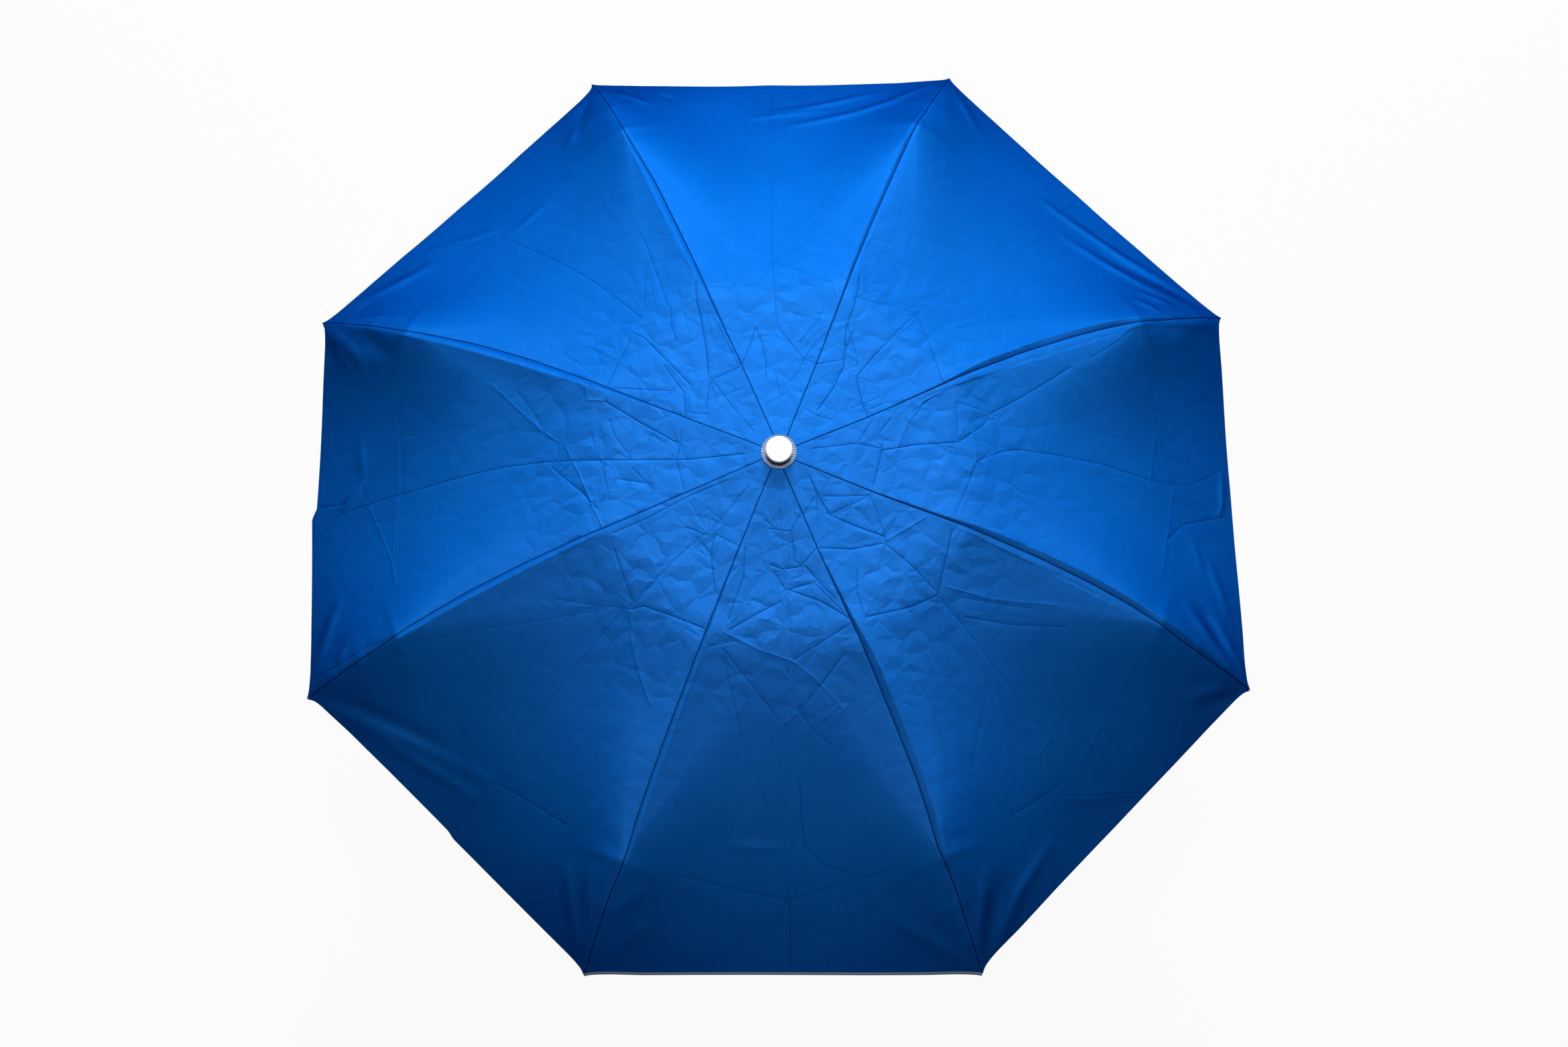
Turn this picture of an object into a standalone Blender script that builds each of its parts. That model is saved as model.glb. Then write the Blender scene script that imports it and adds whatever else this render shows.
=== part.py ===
"""Three-fold pocket umbrella, opened, standing on its handle's end.

The shaft is the Z axis and the handle's end face is at Z = 0. Lengths are in metres.
Every rib set is modelled in its own radial plane: X runs outward from the shaft, Z up.
"""
import math

import bmesh
import bpy
from mathutils import Matrix, Vector

# Gap between neighbouring pieces
CLEARANCE = 0.0003

# Handle; its outline is given as radius and share of its height, above the rounded foot
HANDLE_LENGTH = 0.062
HANDLE_GRIP_RADIUS = 0.0172
HANDLE_OUTLINE = [
    (HANDLE_GRIP_RADIUS, 0.30),
    (0.0158, 0.50),
    (0.0152, 0.62),
    (0.0156, 0.76),
    (0.0152, 0.93),
    (0.0135, 0.98),
    (0.0125, 1.00),
]
HANDLE_EDGE = 0.003
SOCKET_DEPTH = 0.036
END_PLATE_RADIUS = 0.0135
END_PLATE_THICKNESS = 0.0025
END_PLATE_CHAMFER = 0.0008
END_PLUG_RADIUS = 0.0080
END_PLUG_DEPTH = 0.0060
COLLAR_HEIGHT = 0.0050
COLLAR_OUTLINE = [(0.0092, 0.0), (0.0092, 0.55), (0.0083, 0.75), (0.0080, 1.0)]

# Shaft tubes, from the handle up
TUBE_WALL = 0.0006
LOWER_TUBE_RADIUS = 0.0047
LOWER_EXPOSED = 0.145
MIDDLE_EXPOSED = 0.150
UPPER_BELOW_NOTCH = 0.190
LOWER_OVERLAP = 0.025
MIDDLE_OVERLAP = 0.030
TUBE_ABOVE_NOTCH_WIRE = 0.0012

# Tube catches and the runner catch
CATCH_BEAD_RADIUS = 0.0013
CATCH_BEAD_BELOW_TOP = 0.0080
CATCH_BEAD_PROUD = 0.0009
CATCH_STRIP = 0.0004
CATCH_LENGTH = 0.0250
CATCH_WIDTH = 0.0023
PAWL_WIDTH = 0.0022
PAWL_LENGTH = 0.0150
PAWL_STAND = 0.0030
PAWL_NOSE = 0.0022
PAWL_SWING_ROOM = 0.0008
HOLE_CORNER_SHARE = 0.2

# Hinge rings at the notch and the runner
RIB_COUNT = 8
WIRE_RING_RADIUS = 0.0100
WIRE_RADIUS = 0.0005
HUB_RADIUS = 0.0082
FLANGE_RADIUS = 0.0130
FLANGE_HALF_HEIGHT = 0.0032
FLANGE_CHAMFER = 0.0008
SLOT_PAST_FLANGE = 0.0010
NOTCH_DISC_THICKNESS = 0.0021
NOTCH_HUB_DEPTH = 0.0120
STUD_RADIUS = 0.0030
STUD_HEIGHT = 0.0065
STUD_CHAMFER = 0.0007
RUNNER_SLEEVE_RADIUS = 0.0086
RUNNER_LENGTH = 0.0260
RUNNER_TAPER = 0.0030
RUNNER_BELL_RADIUS = 0.0120
RUNNER_BELL_HEIGHT = 0.0070
RUNNER_BELL_SHOULDER = 0.0020
RUNNER_BELL_EDGE = 0.0010

# Ribs
INNER_RIB_LENGTH = 0.168
MIDDLE_RIB_LENGTH = 0.208
OUTER_RIB_LENGTH = 0.155
INNER_SLOPE = math.radians(8.0)
MIDDLE_SLOPE = math.radians(19.0)
OUTER_START_SLOPE = math.radians(38.0)
OUTER_BEND = math.radians(15.0)
CHANNEL_WIDTH = 0.0040
CHANNEL_WALL = 0.0005
RIB_HALF_HEIGHT = 0.0014
TONGUE_WIDTH = 0.0022
TONGUE_REACH = 0.0050
POCKET_START = 0.0070
EYE_RADIUS = 0.0016
EYE_HOLE_RADIUS = 0.0010
RIVET_RADIUS = 0.0007
RIVET_HEAD = 0.0003
ELBOW_OFFSET = 0.0019
ELBOW_RUN = 0.0045
FORK_DEPTH = ELBOW_RUN + CLEARANCE

# Stretchers, each as long as its rivet's distance from the notch wire
STRETCHER_LENGTH = 0.078
STRETCHER_HALF_HEIGHT = 0.0011
STRETCHER_WALL = 0.0004
STRETCHER_RIVET_DROP = 0.0034
EAR_RUN = 0.0040

# Outer rib wire, and the tip with its outline as shares of its radius and length
OUTER_WIRE_RADIUS = 0.0011
OUTER_WIRE_START = 0.0030
OUTER_EYE_WIDTH = 0.0019
TIP_RADIUS = 0.0021
TIP_LENGTH = 0.0110
TIP_WALL_END = 0.0025
TIP_OUTLINE = [(0.85, 0.0), (1.0, 0.11), (0.9, 0.60), (1.0, 0.82), (0.7, 0.96), (0.0, 1.0)]

# Canopy, washer and cap
CANOPY_THICKNESS = 0.0008
CANOPY_HOLE_RADIUS = 0.0042
RIB_COVER = 0.0012
RIDGE_SHARES_INNER = (0.30, 0.65, 1.0)
RIDGE_SHARES_MIDDLE = (0.33, 0.67, 1.0)
RIDGE_SHARES_OUTER = (0.35, 0.68, 1.0)
PANEL_COLUMNS = 6
PANEL_SAG = 0.0060
PANEL_SAG_REACH = 1.15
PANEL_SAG_SKEW = 0.8
PANEL_FLAT_FROM = 0.125
HEM_HOLLOW = 0.0035
HEM_PAST_WIRE = 0.0038
WASHER_RADIUS = 0.0156
WASHER_THICKNESS = 0.0009
WASHER_PLEATS = 40
WASHER_PLEAT_DEPTH = 0.0005
CAP_RADIUS = 0.0120
CAP_HEIGHT = 0.0085
CAP_RIM = 0.0014
CAP_FOOT_CHAMFER = 0.0006
CAP_STEPS = 6

# Flats round each turned piece, each small wire or rivet, and the ring wires' section
ROUND_SIDES = 24
SMALL_SIDES = 8
RING_WIRE_SIDES = 6
OUTER_WIRE_STEPS = 6

# Tube sizes that follow from the lower tube
MIDDLE_TUBE_RADIUS = LOWER_TUBE_RADIUS + CLEARANCE + TUBE_WALL
UPPER_TUBE_RADIUS = MIDDLE_TUBE_RADIUS + CLEARANCE + TUBE_WALL
SLOT_WIDTH = TONGUE_WIDTH + 2 * CLEARANCE

# Heights along the shaft
MIDDLE_TUBE_BOTTOM = HANDLE_LENGTH + LOWER_EXPOSED
LOWER_TUBE_TOP = MIDDLE_TUBE_BOTTOM + LOWER_OVERLAP
UPPER_TUBE_BOTTOM = MIDDLE_TUBE_BOTTOM + MIDDLE_EXPOSED
MIDDLE_TUBE_TOP = UPPER_TUBE_BOTTOM + MIDDLE_OVERLAP
NOTCH_Z = UPPER_TUBE_BOTTOM + UPPER_BELOW_NOTCH

# The stretcher's rivet lies as far from the notch wire as from the runner wire
RIVET_X = math.sqrt(STRETCHER_LENGTH**2 - STRETCHER_RIVET_DROP**2)
RIVET_ANGLE = INNER_SLOPE + math.asin(STRETCHER_RIVET_DROP / STRETCHER_LENGTH)
RUNNER_Z = NOTCH_Z - 2 * STRETCHER_LENGTH * math.sin(RIVET_ANGLE)
RUNNER_BOTTOM = RUNNER_Z - RUNNER_LENGTH
PAWL_BOTTOM = RUNNER_BOTTOM - CLEARANCE - PAWL_LENGTH
LOWER_BEAD_Z = LOWER_TUBE_TOP - CATCH_BEAD_BELOW_TOP
MIDDLE_BEAD_Z = MIDDLE_TUBE_TOP - CATCH_BEAD_BELOW_TOP

# Heights of what is stacked on the notch
NOTCH_DISC_TOP = NOTCH_Z + RIB_HALF_HEIGHT + CLEARANCE + NOTCH_DISC_THICKNESS
CANOPY_CROWN = NOTCH_DISC_TOP + CLEARANCE
WASHER_BOTTOM = CANOPY_CROWN + CANOPY_THICKNESS + CLEARANCE
CAP_BOTTOM = WASHER_BOTTOM + WASHER_THICKNESS + CLEARANCE


def turned(x, z, slope):
    """A point of a part that slopes down by slope, as a radial offset and a height."""
    return Vector((x * math.cos(slope) + z * math.sin(slope), 0, z * math.cos(slope) - x * math.sin(slope)))


NOTCH_PIVOT = Vector((WIRE_RING_RADIUS, 0, NOTCH_Z))
RIVET_PIVOT = NOTCH_PIVOT + turned(RIVET_X, -STRETCHER_RIVET_DROP, INNER_SLOPE)
INNER_ELBOW = NOTCH_PIVOT + turned(INNER_RIB_LENGTH, ELBOW_OFFSET, INNER_SLOPE)
OUTER_ELBOW = INNER_ELBOW + turned(MIDDLE_RIB_LENGTH, -2 * ELBOW_OFFSET, MIDDLE_SLOPE)
STATION_ANGLES = [math.radians(360 / RIB_COUNT * (i + 0.5)) for i in range(RIB_COUNT)]


def clear_scene():
    for obj in list(bpy.data.objects):
        bpy.data.objects.remove(obj, do_unlink=True)


def material(name, colour, roughness, metallic=0.0, alpha=1.0):
    made = bpy.data.materials.new(name)
    made.use_nodes = True
    shader = made.node_tree.nodes["Principled BSDF"]
    shader.inputs["Base Color"].default_value = (*colour, 1.0)
    shader.inputs["Roughness"].default_value = roughness
    shader.inputs["Metallic"].default_value = metallic
    shader.inputs["Alpha"].default_value = alpha
    return made


def finish_mesh(bm, name, round_angle=None):
    """Turn a bmesh into a mesh with its faces pointing out, shaded smooth if it is round."""
    bmesh.ops.recalc_face_normals(bm, faces=bm.faces)
    mesh = bpy.data.meshes.new(name)
    bm.to_mesh(mesh)
    bm.free()
    if round_angle is not None:
        mesh.shade_smooth()
        mesh.set_sharp_from_angle(angle=math.radians(round_angle))
    return mesh


def add_object(name, mesh, look, parent=None, location=(0, 0, 0), slope=0.0):
    """Place a mesh under a parent, sloping down by slope in its radial plane."""
    obj = bpy.data.objects.new(name, mesh)
    bpy.context.collection.objects.link(obj)
    obj.parent = parent
    obj.location = location
    obj.rotation_euler = (0, slope, 0)
    if look is not None and not mesh.materials:
        mesh.materials.append(look)
    return obj


def extruded(outline, width):
    """A plate with an outline in the XZ plane, as thick as width across Y."""
    bm = bmesh.new()
    edge = [bm.verts.new((x, -width / 2, z)) for x, z in outline]
    face = bm.faces.new(edge)
    swept = bmesh.ops.extrude_face_region(bm, geom=[face])
    moved = [v for v in swept["geom"] if isinstance(v, bmesh.types.BMVert)]
    bmesh.ops.translate(bm, verts=moved, vec=(0, width, 0))
    return bm


def revolved(profile, sides=ROUND_SIDES):
    """Spin a closed (radius, height) profile round the Z axis."""
    bm = bmesh.new()
    ring = [bm.verts.new((r, 0, z)) for r, z in profile]
    edges = [bm.edges.new((a, b)) for a, b in zip(ring, ring[1:] + ring[:1])]
    axis_edges = [e for e in edges if all(v.co.x < 1e-9 for v in e.verts)]
    for edge in axis_edges:
        bm.edges.remove(edge)
    geometry = list(bm.verts) + list(bm.edges)
    bmesh.ops.spin(bm, geom=geometry, axis=(0, 0, 1), cent=(0, 0, 0), angle=math.tau, steps=sides, use_merge=True)
    bmesh.ops.remove_doubles(bm, verts=bm.verts, dist=1e-6)
    return bm


def arc(cx, cz, radius, start, end, steps):
    """Points on an arc in the XZ plane, from start to end degrees."""
    points = []
    for i in range(steps + 1):
        a = math.radians(start + (end - start) * i / steps)
        points.append((cx + radius * math.cos(a), cz + radius * math.sin(a)))
    return points


def cross_rod(x, z, radius, length):
    """A rod across the rib's plane, at x and z."""
    bm = bmesh.new()
    bmesh.ops.create_cone(
        bm, cap_ends=True, segments=SMALL_SIDES, radius1=radius, radius2=radius, depth=length,
        matrix=Matrix.Translation((x, 0, z)) @ Matrix.Rotation(math.pi / 2, 4, "X"),
    )
    return bm


def joined(parts):
    """One bmesh from several that don't touch."""
    whole = bmesh.new()
    for part in parts:
        mesh = bpy.data.meshes.new("piece")
        part.to_mesh(mesh)
        part.free()
        whole.from_mesh(mesh)
        bpy.data.meshes.remove(mesh)
    return whole


def combined(name, base, operations, round_angle=None):
    """Run boolean operations on a base bmesh, in order, and return the finished mesh."""
    body = bpy.data.objects.new(name, finish_mesh(base, name))
    bpy.context.collection.objects.link(body)
    tools = []
    for i, (operation, bm) in enumerate(operations):
        tool = bpy.data.objects.new(f"{name}_tool_{i}", finish_mesh(bm, f"{name}_tool_{i}"))
        bpy.context.collection.objects.link(tool)
        tool.hide_render = True
        tool.display_type = "WIRE"
        tools.append(tool)
        cut = body.modifiers.new(f"cut_{i}", "BOOLEAN")
        cut.operation = operation
        cut.solver = "EXACT"
        cut.object = tool
    bpy.context.view_layer.update()
    evaluated = body.evaluated_get(bpy.context.evaluated_depsgraph_get())
    mesh = bpy.data.meshes.new_from_object(evaluated)
    mesh.name = name
    for obj in [body] + tools:
        bpy.data.objects.remove(obj, do_unlink=True)
    if round_angle is not None:
        mesh.shade_smooth()
        mesh.set_sharp_from_angle(angle=math.radians(round_angle))
    return mesh


def station(i):
    """An empty that turns rib set i to its place round the shaft."""
    empty = bpy.data.objects.new(f"rib_station_{i + 1}", None)
    bpy.context.collection.objects.link(empty)
    empty.rotation_euler = (0, 0, STATION_ANGLES[i])
    return empty


def tongue_sides(x_start, x_end):
    """Two blocks that narrow a channel to its tongue between x_start and x_end."""
    depth = CHANNEL_WIDTH - TONGUE_WIDTH / 2
    sides = []
    for sign in (-1, 1):
        bm = bmesh.new()
        centre = ((x_start + x_end) / 2, sign * (TONGUE_WIDTH / 2 + depth / 2), 0)
        size = (x_end - x_start, depth, 4 * CHANNEL_WIDTH)
        bmesh.ops.create_cube(bm, size=1.0, matrix=Matrix.Translation(centre) @ Matrix.Diagonal((*size, 1)))
        sides.append(bm)
    return joined(sides)


def channel_pocket(web_under, elbow_x):
    """The hollow of a channel, open below, and open right through round its elbow's eye."""
    start = POCKET_START
    far = 4 * CHANNEL_WIDTH
    web_end = elbow_x - FORK_DEPTH
    past_end = elbow_x + ELBOW_RUN
    outline = [
        (start, -far),
        (past_end, -far),
        (past_end, far),
        (web_end, far),
        (web_end, web_under),
        (start, web_under),
    ]
    return extruded(outline, CHANNEL_WIDTH - 2 * CHANNEL_WALL)


def inner_rib_mesh():
    """Channel rib: eye on the notch wire, ears for the stretcher, raised fork at the elbow."""
    half = RIB_HALF_HEIGHT
    elbow_x = INNER_RIB_LENGTH
    rivet_x = RIVET_X
    ear = EYE_RADIUS
    outline = arc(0, 0, half, 90, 270, 6)
    outline += [(rivet_x - EAR_RUN, -half)]
    outline += arc(rivet_x, -STRETCHER_RIVET_DROP, ear, 200, 340, 4)
    outline += [(rivet_x + EAR_RUN, -half), (elbow_x - EYE_RADIUS, -half)]
    outline += arc(elbow_x, ELBOW_OFFSET, EYE_RADIUS, -50, 120, 5)
    outline += [(elbow_x - ELBOW_RUN, half)]
    rivet_length = CHANNEL_WIDTH + 2 * RIVET_HEAD
    rivets = joined([
        cross_rod(rivet_x, -STRETCHER_RIVET_DROP, RIVET_RADIUS, rivet_length),
        cross_rod(elbow_x, ELBOW_OFFSET, RIVET_RADIUS, rivet_length),
    ])
    operations = [
        ("DIFFERENCE", channel_pocket(half - CHANNEL_WALL, elbow_x)),
        ("DIFFERENCE", tongue_sides(-2 * half, TONGUE_REACH)),
        ("DIFFERENCE", cross_rod(0, 0, WIRE_RADIUS + CLEARANCE, 2 * CHANNEL_WIDTH)),
        ("UNION", rivets),
    ]
    return combined("inner_rib", extruded(outline, CHANNEL_WIDTH), operations)


def middle_rib_mesh():
    """Channel rib: tongue in the inner rib's fork, and a fork that hangs down at the outer elbow."""
    half = RIB_HALF_HEIGHT
    axis_z = -ELBOW_OFFSET
    low, high = axis_z - half, axis_z + half
    elbow_x, elbow_z = MIDDLE_RIB_LENGTH, -2 * ELBOW_OFFSET
    outline = arc(0, 0, EYE_RADIUS, 60, 230, 5)
    outline += [(EYE_RADIUS, low), (elbow_x - ELBOW_RUN, low)]
    outline += arc(elbow_x, elbow_z, EYE_RADIUS, 240, 410, 5)
    outline += [(elbow_x - EYE_RADIUS, high), (ELBOW_RUN, high)]
    rivet = cross_rod(elbow_x, elbow_z, RIVET_RADIUS, CHANNEL_WIDTH + 2 * RIVET_HEAD)
    operations = [
        ("DIFFERENCE", channel_pocket(high - CHANNEL_WALL, elbow_x)),
        ("DIFFERENCE", tongue_sides(-2 * EYE_RADIUS, TONGUE_REACH)),
        ("DIFFERENCE", cross_rod(0, 0, EYE_HOLE_RADIUS, 2 * CHANNEL_WIDTH)),
        ("UNION", rivet),
    ]
    return combined("middle_rib", extruded(outline, CHANNEL_WIDTH), operations)


def outer_rib_point(length):
    """A point on the outer rib's bent axis, length along it, and its slope below the start."""
    turn = OUTER_BEND * length / OUTER_RIB_LENGTH
    radius = OUTER_RIB_LENGTH / OUTER_BEND
    return Vector((radius * math.sin(turn), 0, ELBOW_OFFSET - radius * (1 - math.cos(turn)))), turn


def swept_wire(points, turns, radius, sides):
    """A round wire through points in the XZ plane, closed by flat ends."""
    bm = bmesh.new()
    circle = bmesh.ops.create_circle(bm, cap_ends=True, radius=radius, segments=sides)
    start = Matrix.Translation(points[0]) @ Matrix.Rotation(turns[0] + math.pi / 2, 4, "Y")
    bmesh.ops.transform(bm, matrix=start, verts=circle["verts"])
    face = bm.faces[:][0]
    for a, b, turn_a, turn_b in zip(points, points[1:], turns, turns[1:]):
        swept = bmesh.ops.extrude_face_region(bm, geom=[face])
        verts = [v for v in swept["geom"] if isinstance(v, bmesh.types.BMVert)]
        move = Matrix.Translation(b) @ Matrix.Rotation(turn_b - turn_a, 4, "Y") @ Matrix.Translation(-a)
        bmesh.ops.transform(bm, matrix=move, verts=verts)
        previous = face
        face = next(f for f in swept["geom"] if isinstance(f, bmesh.types.BMFace))
        if previous.is_valid and a != points[0]:
            bm.faces.remove(previous)
    return bm


def outer_rib_mesh():
    """Bent round wire with a flattened eye that turns in the middle rib's fork."""
    run = OUTER_RIB_LENGTH - OUTER_WIRE_START
    lengths = [OUTER_WIRE_START + run * i / OUTER_WIRE_STEPS for i in range(OUTER_WIRE_STEPS + 1)]
    placed = [outer_rib_point(length) for length in lengths]
    wire = swept_wire([p for p, _ in placed], [t for _, t in placed], OUTER_WIRE_RADIUS, SMALL_SIDES)
    flat = OUTER_EYE_WIDTH / 3
    outline = arc(0, 0, EYE_RADIUS, 110, 320, 6)
    outline += [(2 * EYE_RADIUS, ELBOW_OFFSET - flat), (4 * EYE_RADIUS, ELBOW_OFFSET)]
    outline += [(3 * EYE_RADIUS, ELBOW_OFFSET + flat)]
    operations = [
        ("UNION", wire),
        ("DIFFERENCE", cross_rod(0, 0, EYE_HOLE_RADIUS, 2 * CHANNEL_WIDTH)),
    ]
    return combined("outer_rib", extruded(outline, OUTER_EYE_WIDTH), operations)


def stretcher_mesh():
    """Light channel with an eye at each end: the rivet's at the origin, the runner wire's at X."""
    length = STRETCHER_LENGTH
    half = STRETCHER_HALF_HEIGHT
    outline = arc(0, 0, EYE_RADIUS, 50, 310, 7)
    outline += arc(length, 0, RIB_HALF_HEIGHT, 230, 490, 7)
    pocket = extruded([
        (TONGUE_REACH, half - STRETCHER_WALL),
        (TONGUE_REACH, -4 * half),
        (length - TONGUE_REACH, -4 * half),
        (length - TONGUE_REACH, half - STRETCHER_WALL),
    ], TONGUE_WIDTH - 2 * STRETCHER_WALL)
    operations = [
        ("DIFFERENCE", pocket),
        ("DIFFERENCE", cross_rod(0, 0, EYE_HOLE_RADIUS, 2 * CHANNEL_WIDTH)),
        ("DIFFERENCE", cross_rod(length, 0, WIRE_RADIUS + CLEARANCE, 2 * CHANNEL_WIDTH)),
    ]
    return combined("stretcher", extruded(outline, TONGUE_WIDTH), operations)


def tip_mesh():
    """Small cap over the wire's end, its mouth at the origin and its nose at X."""
    bore = OUTER_WIRE_RADIUS + CLEARANCE
    bore_end = TIP_LENGTH - TIP_WALL_END
    profile = [(bore, 0.0)]
    profile += [(TIP_RADIUS * across, TIP_LENGTH * along) for across, along in TIP_OUTLINE]
    profile += [(0.0, bore_end), (bore, bore_end)]
    bm = revolved(profile, SMALL_SIDES)
    bmesh.ops.rotate(bm, verts=bm.verts, cent=(0, 0, 0), matrix=Matrix.Rotation(math.pi / 2, 3, "Y"))
    return finish_mesh(bm, "rib_tip", 40)


def build_rib_sets():
    """Eight rib sets, each on its own empty, sharing one mesh for each kind of rib."""
    channel = material("rib_steel", (0.62, 0.63, 0.65), 0.32, 1.0)
    wire = material("rib_wire", (0.55, 0.56, 0.58), 0.30, 1.0)
    strut = material("stretcher_steel", (0.60, 0.61, 0.63), 0.34, 1.0)
    tip = material("tip_plastic", (0.01, 0.06, 0.25), 0.45)
    inner_mesh, middle_mesh, outer_mesh = inner_rib_mesh(), middle_rib_mesh(), outer_rib_mesh()
    stretcher, cap = stretcher_mesh(), tip_mesh()
    end, end_turn = outer_rib_point(OUTER_RIB_LENGTH)
    mouth = end - turned(TIP_LENGTH - TIP_WALL_END - CLEARANCE, 0, end_turn)
    for i in range(RIB_COUNT):
        empty = station(i)
        n = i + 1
        add_object(f"rib_inner_{n}", inner_mesh, channel, empty, NOTCH_PIVOT, INNER_SLOPE)
        add_object(f"rib_middle_{n}", middle_mesh, channel, empty, INNER_ELBOW, MIDDLE_SLOPE)
        outer = add_object(f"rib_outer_{n}", outer_mesh, wire, empty, OUTER_ELBOW, OUTER_START_SLOPE)
        add_object(f"stretcher_{n}", stretcher, strut, empty, RIVET_PIVOT, math.pi - RIVET_ANGLE)
        add_object(f"rib_tip_{n}", cap, tip, outer, mouth, end_turn)


def ring_wire(name, z, look):
    """The closed wire ring that eight ribs turn on."""
    bm = bmesh.new()
    last = 360 - 360 / RING_WIRE_SIDES
    outline = arc(WIRE_RING_RADIUS, 0, WIRE_RADIUS, 0, last, RING_WIRE_SIDES - 1)
    section = [bm.verts.new((x, 0, height)) for x, height in outline]
    edges = [bm.edges.new((a, b)) for a, b in zip(section, section[1:] + section[:1])]
    bmesh.ops.spin(
        bm, geom=section + edges, axis=(0, 0, 1), cent=(0, 0, 0), angle=math.tau, steps=ROUND_SIDES, use_merge=True
    )
    bmesh.ops.remove_doubles(bm, verts=bm.verts, dist=1e-6)
    bmesh.ops.rotate(bm, verts=bm.verts, cent=(0, 0, 0), matrix=Matrix.Rotation(STATION_ANGLES[0], 3, "Z"))
    return add_object(name, finish_mesh(bm, name, 60), look, None, (0, 0, z))


def rib_slots(low, high):
    """Eight radial slots for the rib eyes, from just outside the hub's wall past the flange."""
    inner = WIRE_RING_RADIUS - RIB_HALF_HEIGHT - CLEARANCE
    outer = FLANGE_RADIUS + SLOT_PAST_FLANGE
    slots = []
    for angle in STATION_ANGLES:
        bm = bmesh.new()
        centre = Vector(((inner + outer) / 2, 0, (low + high) / 2))
        size = (outer - inner, SLOT_WIDTH, high - low)
        place = Matrix.Rotation(angle, 4, "Z") @ Matrix.Translation(centre) @ Matrix.Diagonal((*size, 1))
        bmesh.ops.create_cube(bm, size=1.0, matrix=place)
        slots.append(bm)
    return joined(slots)


def build_notch(plastic, wire):
    """The slotted hub on the upper tube's end, with the stud that carries washer and cap."""
    bore = UPPER_TUBE_RADIUS + CLEARANCE
    groove = WIRE_RING_RADIUS - WIRE_RADIUS - CLEARANCE
    groove_half = WIRE_RADIUS + CLEARANCE
    slot_top = RIB_HALF_HEIGHT + CLEARANCE
    disc_top = slot_top + NOTCH_DISC_THICKNESS
    roof = TUBE_ABOVE_NOTCH_WIRE + CLEARANCE
    profile = [
        (0, disc_top + STUD_HEIGHT),
        (STUD_RADIUS - STUD_CHAMFER, disc_top + STUD_HEIGHT),
        (STUD_RADIUS, disc_top + STUD_HEIGHT - STUD_CHAMFER),
        (STUD_RADIUS, disc_top),
        (FLANGE_RADIUS - FLANGE_CHAMFER, disc_top),
        (FLANGE_RADIUS, disc_top - FLANGE_CHAMFER),
        (FLANGE_RADIUS, groove_half),
        (groove, groove_half),
        (groove, -groove_half),
        (FLANGE_RADIUS, -groove_half),
        (FLANGE_RADIUS, -FLANGE_HALF_HEIGHT),
        (HUB_RADIUS, -FLANGE_HALF_HEIGHT),
        (HUB_RADIUS, -NOTCH_HUB_DEPTH),
        (bore, -NOTCH_HUB_DEPTH),
        (bore, roof),
        (0, roof),
    ]
    slots = rib_slots(-2 * FLANGE_HALF_HEIGHT, slot_top)
    mesh = combined("top_notch", revolved(profile), [("DIFFERENCE", slots)], 35)
    add_object("top_notch", mesh, plastic, None, (0, 0, NOTCH_Z))
    ring_wire("notch_wire", NOTCH_Z, wire)


def build_runner(plastic, wire):
    """The sliding hub: slotted flange on top, finger sleeve, and a bell at its lower end."""
    bore = UPPER_TUBE_RADIUS + CLEARANCE
    groove = WIRE_RING_RADIUS - WIRE_RADIUS - CLEARANCE
    groove_half = WIRE_RADIUS + CLEARANCE
    bell_top = -RUNNER_LENGTH + RUNNER_BELL_HEIGHT
    profile = [
        (bore, FLANGE_HALF_HEIGHT),
        (FLANGE_RADIUS, FLANGE_HALF_HEIGHT),
        (FLANGE_RADIUS, groove_half),
        (groove, groove_half),
        (groove, -groove_half),
        (FLANGE_RADIUS, -groove_half),
        (FLANGE_RADIUS, -FLANGE_HALF_HEIGHT),
        (RUNNER_SLEEVE_RADIUS, -FLANGE_HALF_HEIGHT - RUNNER_TAPER),
        (RUNNER_SLEEVE_RADIUS, bell_top + RUNNER_TAPER),
        (RUNNER_BELL_RADIUS, bell_top - RUNNER_BELL_SHOULDER),
        (RUNNER_BELL_RADIUS, -RUNNER_LENGTH + RUNNER_BELL_EDGE),
        (RUNNER_BELL_RADIUS - RUNNER_BELL_EDGE, -RUNNER_LENGTH),
        (bore, -RUNNER_LENGTH),
    ]
    slots = rib_slots(-RIB_HALF_HEIGHT - CLEARANCE, 2 * FLANGE_HALF_HEIGHT)
    mesh = combined("runner", revolved(profile), [("DIFFERENCE", slots)], 35)
    add_object("runner", mesh, plastic, None, (0, 0, RUNNER_Z))
    ring_wire("runner_wire", RUNNER_Z, wire)


def tube_mesh(name, radius, length, holes):
    """A tube standing on its lower end, with side openings given as (height, width, length)."""
    inner = radius - TUBE_WALL
    profile = [(inner, 0), (radius, 0), (radius, length), (inner, length)]
    operations = []
    for height, width, tall in holes:
        bm = bmesh.new()
        place = Matrix.Translation((radius, 0, height)) @ Matrix.Diagonal((4 * TUBE_WALL, width, tall, 1))
        bmesh.ops.create_cube(bm, size=1.0, matrix=place)
        upright = [e for e in bm.edges if abs(e.verts[0].co.x - e.verts[1].co.x) > TUBE_WALL]
        bmesh.ops.bevel(
            bm, geom=upright, offset=width * HOLE_CORNER_SHARE, offset_type="OFFSET", segments=2, profile=0.5,
            affect="EDGES", material=-1,
        )
        operations.append(("DIFFERENCE", bm))
    return combined(name, revolved(profile), operations, 35)


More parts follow.
